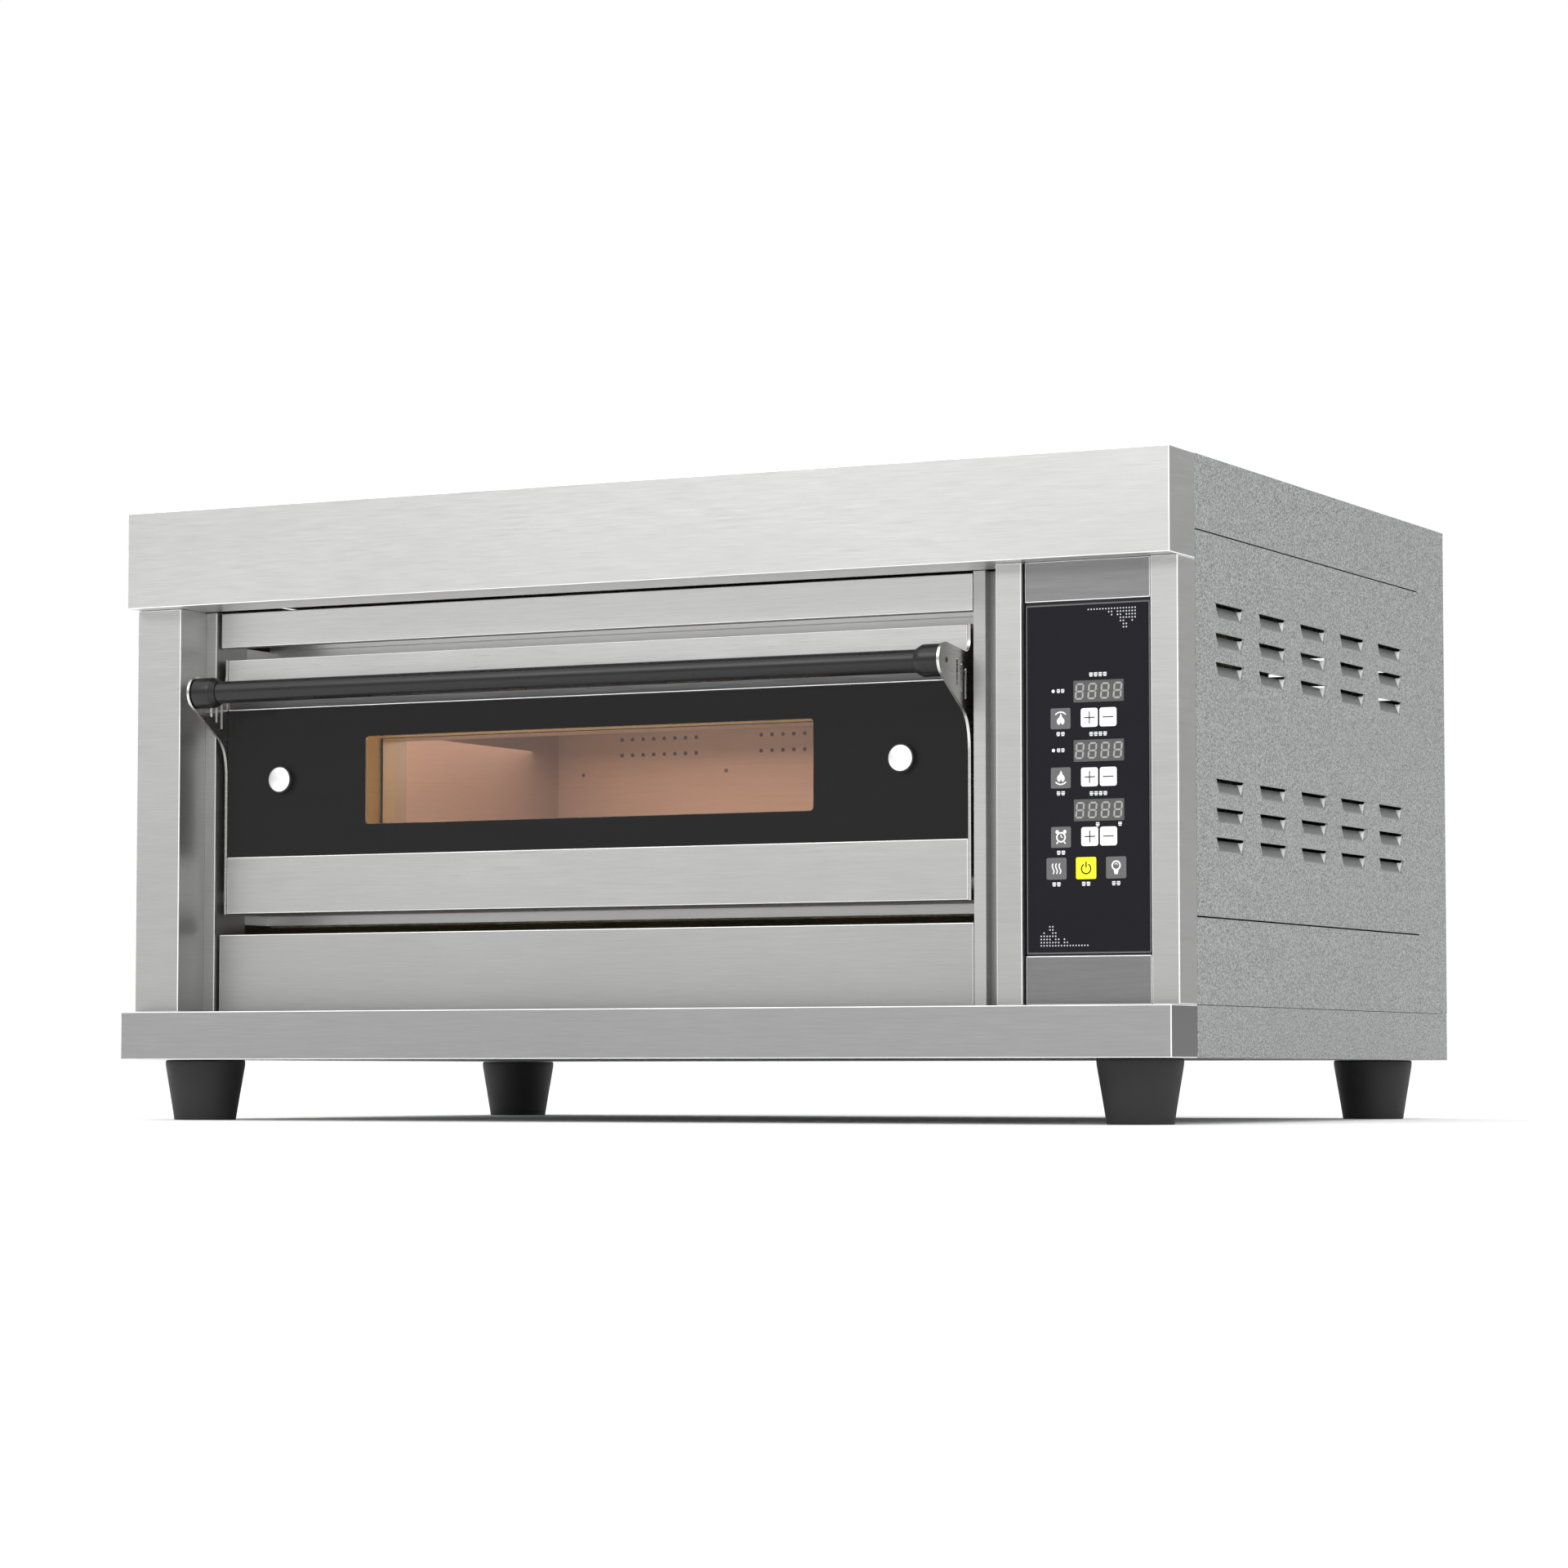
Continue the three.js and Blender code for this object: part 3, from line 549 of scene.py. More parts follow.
def turned(name, profile, origin, axis, segments=64, closed=False):
    """A turned piece: (radius, height) points about the axis from origin, closed to a loop or not."""
    work = bmesh.new()
    turn = Vector(axis).to_track_quat("Z", "Y").to_matrix().to_4x4()
    rings = []
    for radius, height in profile:
        count = segments if radius > 1e-7 else 1
        rings.append([
            work.verts.new((radius * math.cos(2 * math.pi * i / segments),
                            radius * math.sin(2 * math.pi * i / segments), height))
            for i in range(count)])
    pairs = list(zip(rings, rings[1:]))
    if closed:
        pairs.append((rings[-1], rings[0]))
    for low, high in pairs:
        for i in range(segments):
            j = (i + 1) % segments
            corners = [low[i % len(low)], low[j % len(low)], high[j % len(high)], high[i % len(high)]]
            corners = list(dict.fromkeys(corners))
            if len(corners) > 2:
                work.faces.new(corners)
    bmesh.ops.recalc_face_normals(work, faces=work.faces)
    mesh = mesh_from(work, name)
    mesh.transform(Matrix.Translation(Vector(origin)) @ turn)
    return mesh


def rod(name, points, radius, sides):
    """A round wire or tube along points."""
    curve = bpy.data.curves.new(name, "CURVE")
    curve.dimensions = "3D"
    curve.bevel_depth = radius
    curve.bevel_resolution = sides // 4 - 1
    curve.use_fill_caps = True
    spline = curve.splines.new("POLY")
    spline.points.add(len(points) - 1)
    for point, place in zip(spline.points, points):
        point.co = (*place, 1)
    return mesh_of(curve)


def end_of(low, high):
    """The centre of a box's end at low X, where a piece that lies along X starts."""
    return low.x, (low.y + high.y) / 2, (low.z + high.z) / 2


# ---- finishes in use

# Ramps of painted shade: axis, start and end along it in metres, tone at the start, tone at the end.
STRIP_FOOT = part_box("door_top_strip")[0].z
# Painted shade: the steel darkens towards the bottom, where less light falls.
SHADE_DOWNWARD = ("Z", 0.11, 0.55, 0.80, 1.0)
# Painted shade: the steel darkens deeper into the groove beside the door.
GROOVE_SHADE = ("Y", -0.345, -0.330, 1.06, 0.82)
# Painted shadow and reflection of the handle: the strip darkens just under it.
HANDLE_SHADOW = ("Z", STRIP_FOOT, STRIP_FOOT + 0.026, 0.16, 1.0)
LOUVRE_FLOOR, PANEL_FACE = 0.6078, 0.6092        # metres from the oven's middle
# The stainless sheets share one brushed steel in lit and shaded copies: hood and upper panel painted lighter,
# front and door darker, the base darker still, and the frame lighter to brighten the shaded gap above the
# door; a side factor paints sideways folds darker.
steel_hood = brushed("steel_hood", (0.62, 0.62, 0.612), 0.4, side_shade=0.86)
steel_front = brushed("steel_front", (0.53, 0.53, 0.526), 0.42, ramp=SHADE_DOWNWARD)
steel_upper = brushed("steel_upper", (0.69, 0.69, 0.685), 0.42)
steel_groove = brushed("steel_groove", (0.53, 0.53, 0.526), 0.42, ramp=GROOVE_SHADE)
steel_base = brushed("steel_base", grey(0.36), 0.38, side_shade=0.55)
steel_door = brushed("steel_door", (0.57, 0.57, 0.566), 0.4, ramp=SHADE_DOWNWARD)
steel_trim = brushed("steel_trim", (0.68, 0.68, 0.675), 0.32, ramp=HANDLE_SHADOW)
steel_ear = brushed("steel_ear", (0.66, 0.65, 0.63), 0.24, contrast=0.03)
steel_plates = brushed("steel_plates", grey(0.28), 0.36, ramp=SHADE_DOWNWARD)
steel_frame = brushed("steel_frame", (0.72, 0.72, 0.71), 0.36)
# Near-white steel for the bevelled edges: a painted highlight.
steel_edge_highlight = brushed("steel_edge_highlight", grey(0.97), 0.5, contrast=0.02)
steel_plated = brushed("steel_plated", (0.42, 0.43, 0.43), 0.42, contrast=0.1)
steel_spring = brushed("steel_spring", (0.22, 0.21, 0.20), 0.4)
steel_inner = brushed("steel_inner", (0.5, 0.48, 0.46), 0.36)
steel_gold = warm_steel("steel_gold", (0.98, 0.70, 0.28), 0.45)
steel_chamber = warm_steel("steel_chamber", (0.50, 0.40, 0.36))
paint_hammer = hammertone("hammertone")
paint_louvred = hammertone("hammertone_louvred", (LOUVRE_FLOOR, PANEL_FACE))
rubber = moulded("rubber", grey(0.014), 0.6, scale=700, bumps=0.25)
black_plastic = moulded("black_plastic", grey(0.02), 0.45)
ceramic = moulded("ceramic", (0.75, 0.73, 0.68), 0.25, bumps=0.03)
seal_rubber = moulded("seal_rubber", grey(0.015), 0.75, scale=500, bumps=0.6)
handle_black = satin_black()
cap_chrome = polished("cap_chrome", grey(0.98), 0.38)
# black_glass and touch_glass glow: painted light that keeps them evenly lit where shadows fall.
black_glass = printed_glass("black_glass", grey(0.007), glow=1.7)
touch_glass = printed_glass("touch_glass", (0.009, 0.009, 0.012), glow=0.5)
edge_glass = printed_glass("edge_glass", (0.16, 0.16, 0.17), 0.1, 0.2)
window_glass = clear_glass("window_glass", (0.97, 0.97, 0.96))
lamp_glass = clear_glass("lamp_glass", (0.98, 0.95, 0.88))
stone = refractory()
mineral_wool = wool()
element_tube = oxidised()
circuit = solder_mask()
# The glow of white_ink, yellow_ink and segment_ink is painted light on the print.
white_ink = ink("white_ink", (0.86, 0.86, 0.87), glow=0.08)
dot_ink = ink("dot_ink", (0.62, 0.62, 0.64))
grey_ink = ink("grey_ink", grey(0.125))
dark_ink = ink("dark_ink", grey(0.02))
yellow_ink = ink("yellow_ink", (1.0, 0.95, 0.01), glow=0.25)
window_ink = ink("window_ink", (0.085, 0.085, 0.082))
segment_ink = ink("segment_ink", (0.36, 0.36, 0.35), glow=0.03)
bulb_glow = ink("bulb_glow", (1.0, 0.72, 0.4), glow=4.0)
shadow_hole = ink("shadow_hole", (0.012, 0.008, 0.006), 0.8)


# ---- kept frame nodes

STEEL_SHEETS = (                 # these get a painted highlight on their edges
    (steel_hood, "hood_fascia"),
    (steel_base, "base_plinth"),
    (steel_front, "column_left column_right control_strip jamb_left lower_front_panel"),
    (steel_groove, "jamb_right"),
    (steel_upper, "upper_front_panel"),
    (steel_frame, "chamber_front_frame"),
    (steel_plates, "control_upper_plate control_lower_plate"),
    (steel_ear, "door_side_plate_left door_side_plate_right"),
    (steel_trim, "door_top_strip"),
    (steel_door, "door_bottom_strip"),
)
OTHER_NODES = (
    (steel_gold, "window_tunnel"),
    (steel_inner, "door_shell"),
    (steel_plated, "hinge_bearing_left hinge_bearing_right"),
    (steel_chamber, "chamber_liner"),
    (paint_hammer, "top_cover rear_cover base_tray lower_side_panel_left lower_side_panel_right"),
    (paint_louvred, "side_panel_left side_panel_right"),
    (black_plastic, "control_tray power_contactor"),
    (circuit, "control_board"),
    (ceramic, "terminal_block"),
    (stone, "hearth_stone"),
    (mineral_wool, "chamber_insulation"),
    (seal_rubber, "door_gasket"),
)
USUAL_EDGE, SHEET_EDGE = 0.8, 1.1                # widths of softened edges in mm
OTHER_EDGES = {
    0.3: "side_panel_left side_panel_right control_board",
    0.4: "terminal_block",
    0.5: "door_side_plate_left door_side_plate_right",
    1.5: "hearth_stone hinge_bearing_left hinge_bearing_right",
    2.5: "door_gasket",
    3: "chamber_insulation",
}
EDGE = {node: width for width, names in OTHER_EDGES.items() for node in names.split()}


def soften(node, width, edge_material):
    """Rounds the edges of a frame node, in mm, without touching its mesh. -1 keeps the faces' material."""
    item = nodes[node]
    merge = item.modifiers.new("merge", "WELD")
    merge.merge_threshold = 1e-5
    flatten = item.modifiers.new("flatten", "DECIMATE")
    flatten.decimate_type = "DISSOLVE"
    flatten.angle_limit = math.radians(1)
    bevel = item.modifiers.new("edges", "BEVEL")
    bevel.width = width * MM
    bevel.segments = 2
    bevel.limit_method = "ANGLE"
    bevel.angle_limit = math.radians(25)
    bevel.harden_normals = True
    bevel.material = edge_material


def dress(node, material, edge, bright=False):
    """Gives a kept node its finish and softens its edges; a steel sheet gets a painted highlight on its
    edges.
    """
    mesh = nodes[node].data
    mesh.materials.clear()
    mesh.materials.append(material)
    if "custom_normal" in mesh.attributes:
        mesh.attributes.remove(mesh.attributes["custom_normal"])
    mesh.shade_smooth()
    if bright:
        mesh.materials.append(steel_edge_highlight)
    soften(node, EDGE.get(node, edge), 1 if bright else -1)


# ---- feet and handle

SIDES = ((-1, "left"), (1, "right"))


def make_feet():
    """Tapered feet with a hollow underneath and a rounded rim."""
    taper, tread, hollow = 9.7 * MM, 7 * MM, 4 * MM
    for end in ("front", "rear"):
        for side in ("left", "right"):
            node = f"foot_{end}_{side}"
            low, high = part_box(node)
            centre = (low + high) / 2
            top_radius = (high.x - low.x) / 2
            height = high.z - low.z
            base_radius = top_radius - taper
            inner = base_radius - tread
            profile = [(0, hollow), (inner + 1 * MM, hollow), (inner, 0), (base_radius, 0),
                       (base_radius + 0.3 * MM, 2.5 * MM), (top_radius, height - 5 * MM),
                       (top_radius, height), (0, height)]
            mesh = turned(node, fillet(profile, 2 * MM), (centre.x, centre.y, low.z), (0, 0, 1))
            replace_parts(piece(f"{node}_rubber", mesh, rubber, "oven"), node)


def make_handle():
    low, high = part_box("handle_tube")
    axis_y, axis_z = (low.y + high.y) / 2, (low.z + high.z) / 2
    radius = (high.z - low.z) / 2
    length = high.x - low.x
    wall = 2.2 * MM
    profile = [(radius - wall, 0), (radius, 0), (radius, length), (radius - wall, length)]
    mesh = turned("handle_bar", profile, (low.x, axis_y, axis_z), (1, 0, 0), 96, closed=True)
    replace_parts(piece("handle_bar", mesh, handle_black, "door"), "handle_tube")
    shoulder, sleeve, chamfer = 21 * MM, 28 * MM, 1.2 * MM
    for side, name in SIDES:
        node = f"handle_sleeve_{name}"
        low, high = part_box(node)
        end = low.x if side < 0 else high.x
        outer = (high.z - low.z) / 2
        bore = radius + 0.15 * MM
        profile = [(bore, 0), (outer - chamfer, 0), (outer, chamfer), (outer, shoulder),
                   (bore + 1 * MM, sleeve), (bore, sleeve)]
        rounded = fillet(profile, 1.5 * MM)
        mesh = turned(f"{node}_cover", rounded, (end, axis_y, axis_z), (-side, 0, 0), 96, closed=True)
        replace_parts(piece(f"{node}_cover", mesh, handle_black, "door"), node)
        make_handle_screw(name, side, axis_y, axis_z)


def make_handle_screw(name, side, y, z):
    """A socket screw that sits in the hole of the ear."""
    low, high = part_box(f"door_side_plate_{name}")
    face = low.x if side < 0 else high.x
    head, socket = 3.0 * MM, 1.6 * MM
    back, front = -4.4 * MM, -2.5 * MM
    profile = [(0, back), (head, back), (head, front - 0.4 * MM), (head - 0.5 * MM, front),
               (socket + 0.2 * MM, front), (socket, front - 0.2 * MM), (socket, front - 1.2 * MM),
               (0, front - 1.4 * MM)]
    mesh = turned(f"handle_screw_{name}", profile, (face, y, z), (side, 0, 0), 36)
    # The screw is dark spring steel so that the ear's hole reads dark: painted shade.
    piece(f"handle_screw_{name}", mesh, steel_spring, "door")


# ---- door glass and window

WINDOW_RADIUS = 4.5 * MM


def window_opening():
    """Centre, width and height of the window: the tunnel's box less its wall."""
    low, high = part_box("window_tunnel")
    wall = 2 * MM
    x0, x1, z0, z1 = low.x + wall, high.x - wall, low.z + wall, high.z - wall
    return ((x0 + x1) / 2, (z0 + z1) / 2), x1 - x0, z1 - z0


def make_door_glass():
    """The black pane with its window left open, and the clear pane of the window."""
    low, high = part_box("door_glass")
    centre, width, height = window_opening()
    window = rounded_box(centre, width, height, WINDOW_RADIUS, 8)
    rim = [(low.x, low.z), (high.x, low.z), (high.x, high.z), (low.x, high.z)]
    depth = high.y - low.y
    mesh = cut_out("door_glass_pane", [rim, window], depth, (0, low.y, 0), edge=0.5 * MM)
    pane = piece("door_glass_pane", mesh, black_glass, "door", FLAT)
    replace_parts(pane, "door_glass")
    gap = 0.3 * MM
    mesh = slab("door_window_pane", centre, width, height, WINDOW_RADIUS, low.y + gap, depth - 2 * gap, gap)
    piece("door_window_pane", mesh, window_glass, "door")


def make_inner_glass():
    """The second pane at the back of the window, and the seal that holds it."""
    low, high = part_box("door_inner_glass")
    centre, width, height = window_opening()
    mesh = slab("inner_window_pane", centre, high.x - low.x, high.z - low.z, 3 * MM,
                low.y, high.y - low.y, 0.4 * MM)
    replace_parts(piece("inner_window_pane", mesh, window_glass, "door"), "door_inner_glass")
    lip = 2.2 * MM
    outside = rounded_box(centre, width, height, 0.5 * MM)
    inside = rounded_box(centre, width - 2 * lip, height - 1.2 * MM, 0.8 * MM)
    mesh = cut_out("inner_window_seal", [outside, inside], 2 * MM, (0, low.y - 2.05 * MM, 0), edge=0.2 * MM)
    piece("inner_window_seal", mesh, seal_rubber, "door", FLAT)


def make_glass_caps():
    """Glass holders: a polished disc on a black skirt."""
    for name in ("left", "right"):
        node = f"glass_cap_{name}"
        low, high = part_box(node)
        radius = (high.x - low.x) / 2
        depth = high.y - low.y
        place = ((low.x + high.x) / 2, high.y, (low.z + high.z) / 2)
        face = [(radius - 1.6 * MM, depth - 0.55 * MM), (radius - 2.4 * MM, depth - 0.05 * MM), (0, depth)]
        neck, seat = radius - 1.8 * MM, depth - 1.2 * MM
        skirt = [(0, 0), (neck, 0), (neck, 1.6 * MM), (radius, 1.9 * MM), (radius, depth - 1.7 * MM),
                 (radius - 0.5 * MM, depth - 1.0 * MM), (radius - 1.6 * MM, depth - 0.7 * MM),
                 (radius - 1.7 * MM, seat), (0, seat)]
        mesh = turned(f"{node}_skirt", skirt, place, FACING)
        piece(f"{node}_skirt", mesh, black_plastic, "door")
        back = depth - 1.15 * MM
        mesh = turned(f"{node}_disc", [(0, back), (radius - 1.75 * MM, back)] + face, place, FACING)
        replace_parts(piece(f"{node}_disc", mesh, cap_chrome, "door"), node)


# ---- hinge and hidden round pieces

def make_hinges():
    for side, name in SIDES:
        low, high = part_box(f"hinge_pin_{name}")
        radius = (high.z - low.z) / 2
        length = high.x - low.x
        profile = fillet([(0, 0), (radius, 0), (radius, length), (0, length)], 1.2 * MM)
        mesh = turned(f"hinge_pin_{name}_bar", profile, end_of(low, high), (1, 0, 0))
        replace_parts(piece(f"hinge_pin_{name}_bar", mesh, steel_plated, "door"),
                    f"hinge_pin_{name}")
        make_spring(side, name)


def make_spring(side, name):
    """A torsion spring round the pin, with a straight leg at each end."""
    low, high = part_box(f"door_spring_{name}")
    pin_low, pin_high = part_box(f"hinge_pin_{name}")
    axis_y, axis_z = (pin_low.y + pin_high.y) / 2, (pin_low.z + pin_high.z) / 2
    wire = 2 * MM
    coil = high.y - wire - axis_y
    turns, steps = 4, 24
    start = (high.x - wire) if side < 0 else (low.x + wire)
    travel = (high.x - low.x) - 2 * wire
    points = [(start, axis_y + coil, low.z)]
    for step in range(turns * steps + 1):
        angle = 2 * math.pi * step / steps
        x = start + side * travel * step / (turns * steps)
        points.append((x, axis_y + coil * math.cos(angle), axis_z + coil * math.sin(angle)))
    points.append((points[-1][0], points[-1][1], high.z))
    mesh = rod(f"door_spring_{name}_wire", points, wire, 12)
    item = piece(f"door_spring_{name}_wire", mesh, steel_spring, "oven", 60)
    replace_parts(item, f"door_spring_{name}")


def make_elements():
    """Tubular elements: six runs across the chamber joined by round bends."""
    runs, bend_steps, cold_end = 6, 12, 99 * MM
    for level in ("upper", "lower"):
        node = f"{level}_heating_element"
        low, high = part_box(node)
        radius = (high.z - low.z) / 2
        z = (low.z + high.z) / 2
        first, last = low.y + radius, high.y - radius
        pitch = (last - first) / (runs - 1)
        bend = pitch / 2
        far = low.x + radius + bend
        near = high.x - cold_end
        points = [(high.x, first, z)]
        for run in range(runs - 1):
            x, way = (far, -1) if run % 2 == 0 else (near, 1)
            centre = first + run * pitch + bend
            for step in range(bend_steps + 1):
                angle = math.pi * step / bend_steps
                points.append((x + way * bend * math.sin(angle), centre - bend * math.cos(angle), z))
        points.append((high.x, last, z))
        mesh = rod(f"{node}_tube", points, radius, 16)
        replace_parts(piece(f"{node}_tube", mesh, element_tube, "oven", 60), node)
        make_probe(level)


def make_probe(level):
    """A thin thermocouple with a thicker head."""
    node = f"{level}_thermocouple"
    low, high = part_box(node)
    radius = (high.z - low.z) / 2
    length = high.x - low.x
    tip = 2.6 * MM
    head = length - 12.5 * MM
    profile = [(0, 0), (tip, 0), (tip, head), (radius, head), (radius, length), (0, length)]
    mesh = turned(f"{node}_probe", fillet(profile, 1 * MM), end_of(low, high), (1, 0, 0), 32)
    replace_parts(piece(f"{node}_probe", mesh, element_tube, "oven"), node)


def make_lamp():
    """The chamber lamp: a ceramic holder, a bulb and a glass dome over it."""
    low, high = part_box("chamber_lamp")
    place = end_of(low, high)
    length = high.x - low.x
    holder, holder_length, bulb_radius = 12 * MM, 18.5 * MM, 6.8 * MM
    profile = fillet([(0, 0), (holder, 0), (holder, holder_length), (0, holder_length)], 1 * MM)
    mesh = turned("lamp_holder", profile, place, (1, 0, 0), 40)
    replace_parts(piece("lamp_holder", mesh, ceramic, "oven"), "chamber_lamp")
    bulb = [(0, 18.6 * MM), (4 * MM, 18.6 * MM)]
    bulb += arc((0, length - bulb_radius), bulb_radius, -35, 90, 12)
    mesh = turned("lamp_bulb", bulb, place, (1, 0, 0), 32)
    piece("lamp_bulb", mesh, bulb_glow, "oven", 80)
    low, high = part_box("lamp_cover")
    profile = [(14.6, 0), (14.6, 8), (18, 8), (18, 11), (14, 18), (7, 20.5), (0, 21), (0, 19), (7, 18.6),
               (12.6, 16), (12.6, 0)]
    profile = [(radius * MM, height * MM) for radius, height in profile]
    mesh = turned("lamp_cover_dome", profile, end_of(low, high), (1, 0, 0), 48, closed=True)
    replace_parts(piece("lamp_cover_dome", mesh, lamp_glass, "oven", 50), "lamp_cover")


def make_flue_and_gland():
    low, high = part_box("steam_flue")
    radius = (high.x - low.x) / 2
    length = high.y - low.y
    place = ((low.x + high.x) / 2, low.y, (low.z + high.z) / 2)
    bore = radius - 2 * MM
    profile = [(bore, 0), (radius, 0), (radius, length - 0.6 * MM), (radius - 1 * MM, length), (bore, length)]
    mesh = turned("steam_flue_tube", profile, place, (0, 1, 0), 64, closed=True)
    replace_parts(piece("steam_flue_tube", mesh, steel_plated, "oven"), "steam_flue")
    low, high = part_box("cable_gland")
    place = ((low.x + high.x) / 2, high.y, (low.z + high.z) / 2)
    body = [(8, 0), (12, 0), (12, 14), (17, 14), (17, 21), (15.5, 24), (8, 24)]
    body = fillet([(radius * MM, height * MM) for radius, height in body], 0.8 * MM)
    mesh = turned("cable_gland_body", body, place, FACING, 12, closed=True)
    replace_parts(piece("cable_gland_body", mesh, black_plastic, "oven"), "cable_gland")


# ---- chamber details

def make_vent_holes():
    """Rows of round vent holes, drawn as flat dark discs of painted shade on the wall, and two small screws
    in the chamber's rear wall.
    """
    low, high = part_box("chamber_liner")
    wall = high.y - 2 * MM
    hole, pitch, columns = 2.4 * MM, 14.6 * MM, 8
    groups, group_pitch, rows = 4, 190.6 * MM, (437 * MM, 456 * MM)
    first, screw_level = low.x + 91 * MM, 414.5 * MM
    holes = []
    for group in range(groups):
        for row in rows:
            for column in range(columns):
                place = (first + group * group_pitch + column * pitch, row)
                holes.append(circle(place, hole, 20))
    mesh = cut_out("chamber_vent_holes", holes, 0.3 * MM, (0, wall - 0.3 * MM, 0))
    piece("chamber_vent_holes", mesh, shadow_hole, "oven")
    places = [(low.x + offset * MM, wall, screw_level) for offset in (37, 234)]
    mesh = screw_heads("chamber_screws", places, FACING, 2.2 * MM)
    piece("chamber_screws", mesh, element_tube, "oven")


def screw_heads(name, places, axis, radius):
    """One mesh of equal pan heads, each with a round socket."""
    profile = [(0, radius * 0.2), (radius * 0.4, radius * 0.2), (radius * 0.45, radius * 0.62),
               (radius * 0.75, radius * 0.5), (radius * 0.95, radius * 0.25), (radius, 0)]
    return merged(name, [turned("head", profile, place, axis, 24) for place in places])


def make_rear_screws():
    """Screws round the edge of the rear cover."""
    low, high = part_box("rear_cover")
    inset = 14 * MM
    places = []
    for share in (0, 0.25, 0.5, 0.75, 1):
        x = low.x + inset + share * (high.x - low.x - 2 * inset)
        places += [(x, high.y, low.z + inset), (x, high.y, high.z - inset)]
    for side in (low.x + inset, high.x - inset):
        places.append((side, high.y, (low.z + high.z) / 2))
    mesh = screw_heads("rear_cover_screws", places, (0, 1, 0), 4.5 * MM)
    piece("rear_cover_screws", mesh, steel_plated, "oven")


# ---- control panel

def make_control_glass():
    """The touch glass and the polished rim round it."""
    low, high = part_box("control_glass")
    centre = ((low.x + high.x) / 2, (low.z + high.z) / 2)
    width, height = high.x - low.x, high.z - low.z
    depth = high.y - low.y
    rim = 1.6 * MM
    outer = rounded_box(centre, width, height, 0.8 * MM)
    inner = rounded_box(centre, width - 2 * rim, height - 2 * rim, 0.5 * MM)
    step = 0.9 * MM
    mesh = cut_out("control_glass_rim", [outer, inner], depth - step, (0, low.y + step, 0), edge=0.3 * MM)
    piece("control_glass_rim", mesh, edge_glass, "oven", FLAT)
    mesh = cut_out("control_glass_pane", [inner], depth, (0, low.y, 0), edge=0.4 * MM)
    pane = piece("control_glass_pane", mesh, touch_glass, "oven", FLAT)
    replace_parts(pane, "control_glass")


class Print:
    """Marks printed on the control glass. Places are in mm from the glass's lower left corner."""

    def __init__(self):
        self.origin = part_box("control_glass")[0]
        self.layers = {}

    def mark(self, layer, *outlines):
        """One mark: an outline, and any outlines inside it that stay open."""
        self.layers.setdefault(layer, []).append(outlines)

    def light(self, *outlines):
        self.mark("marks_light", *outlines)

    def placed(self, outline):
        return [(self.origin.x + x * MM, self.origin.z + z * MM) for x, z in outline]

    def build(self):
        looks = {                # ink, and how far in mm the print stands off the glass
            "key_white": (white_ink, 0.10), "key_grey": (grey_ink, 0.10), "key_power": (yellow_ink, 0.10),
            "display_window": (window_ink, 0.06), "display_segments": (segment_ink, 0.12),
            "marks_light": (white_ink, 0.16), "marks_dark": (dark_ink, 0.16), "marks_dots": (dot_ink, 0.16),
        }
        for layer, marks in self.layers.items():
            material, lift = looks[layer]
            front = (0, self.origin.y - lift * MM, 0)
            flat = [cut_out("mark", [self.placed(outline) for outline in outlines], 0.05 * MM, front)
                    for outlines in marks]
            piece(f"panel_{layer}", merged(f"panel_{layer}", flat), material, "oven")


def digit_segments(x, z):
    """The seven segments of one display digit, all unlit, leaning slightly."""
    wide, tall, stroke, lean, gap = 7.4, 14.4, 1.75, 0.09, 0.35
    half = tall / 2
    cross = [((-wide / 2, level), (wide / 2, level)) for level in (-half, 0, half)]
    posts = [((side * wide / 2, bottom), (side * wide / 2, bottom + half))
             for side in (-1, 1) for bottom in (-half, 0)]
    for start, end in cross + posts:
        a, b = Vector(start), Vector(end)
        along = (b - a).normalized()
        across = Vector((-along.y, along.x))
        a, b = a + along * gap, b - along * gap
        point, side = stroke / 2, across * stroke / 2
        shape = [a, a + along * point + side, b - along * point + side, b, b - along * point - side,
                 a + along * point - side]
        yield [(x + p.x + lean * p.y, z + p.y) for p in shape]


def caption(sheet, x, z, count, size=4.0):
    """Stands for a printed caption: a row of small blocks, each of three short bars."""
    pitch = size + 0.9
    for index in range(count):
        centre = x + (index - (count - 1) / 2) * pitch
        for level, share in ((1, 0.9), (0, 1.0), (-1, 0.75)):
            half = size * share / 2
            height = z + level * size * 0.37
            sheet.light(bar((centre - half, height), (centre + half, height), size * 0.24))


def flame(x, z, size):
    """A flame outline with a notch at its foot."""
    left = arc((x - 0.02 * size, z - 0.12 * size), 0.36 * size, 250, 130, 8)
    turns = ((-0.12, 0.28), (0.02, 0.62), (0.16, 0.34), (0.2, 0.2))
    tip = [(x + over * size, z + up * size) for over, up in turns]
    right = arc((x + 0.04 * size, z - 0.12 * size), 0.36 * size, 50, -70, 8)
    notch = [(x + 0.02 * size, z - 0.22 * size)]
    return left + tip + right + notch


def clock(sheet, x, z):
    sheet.light(circle((x, z), 5.2), circle((x, z), 3.7))
    sheet.light(bar((x, z + 2.6), (x, z - 0.4), 0.9))
    sheet.light(bar((x - 0.3, z), (x + 2.1, z), 0.9))
    for side in (-1, 1):
        sheet.light(circle((x + side * 4.0, z + 5.3), 1.9, 14))
        sheet.light(bar((x + side * 3.2, z - 4.4), (x + side * 4.8, z - 6.4), 1.3))


def light_bulb(sheet, x, z):
    globe = (x, z + 2.0)
    sheet.light(circle(globe, 4.9), circle(globe, 3.4))
    sheet.light([(x - 2.6, z - 2.6), (x + 2.6, z - 2.6), (x + 1.6, z - 6.6), (x - 1.6, z - 6.6)])
    sheet.light(band(globe, 1.7, 0.7, 20, 150, 8))


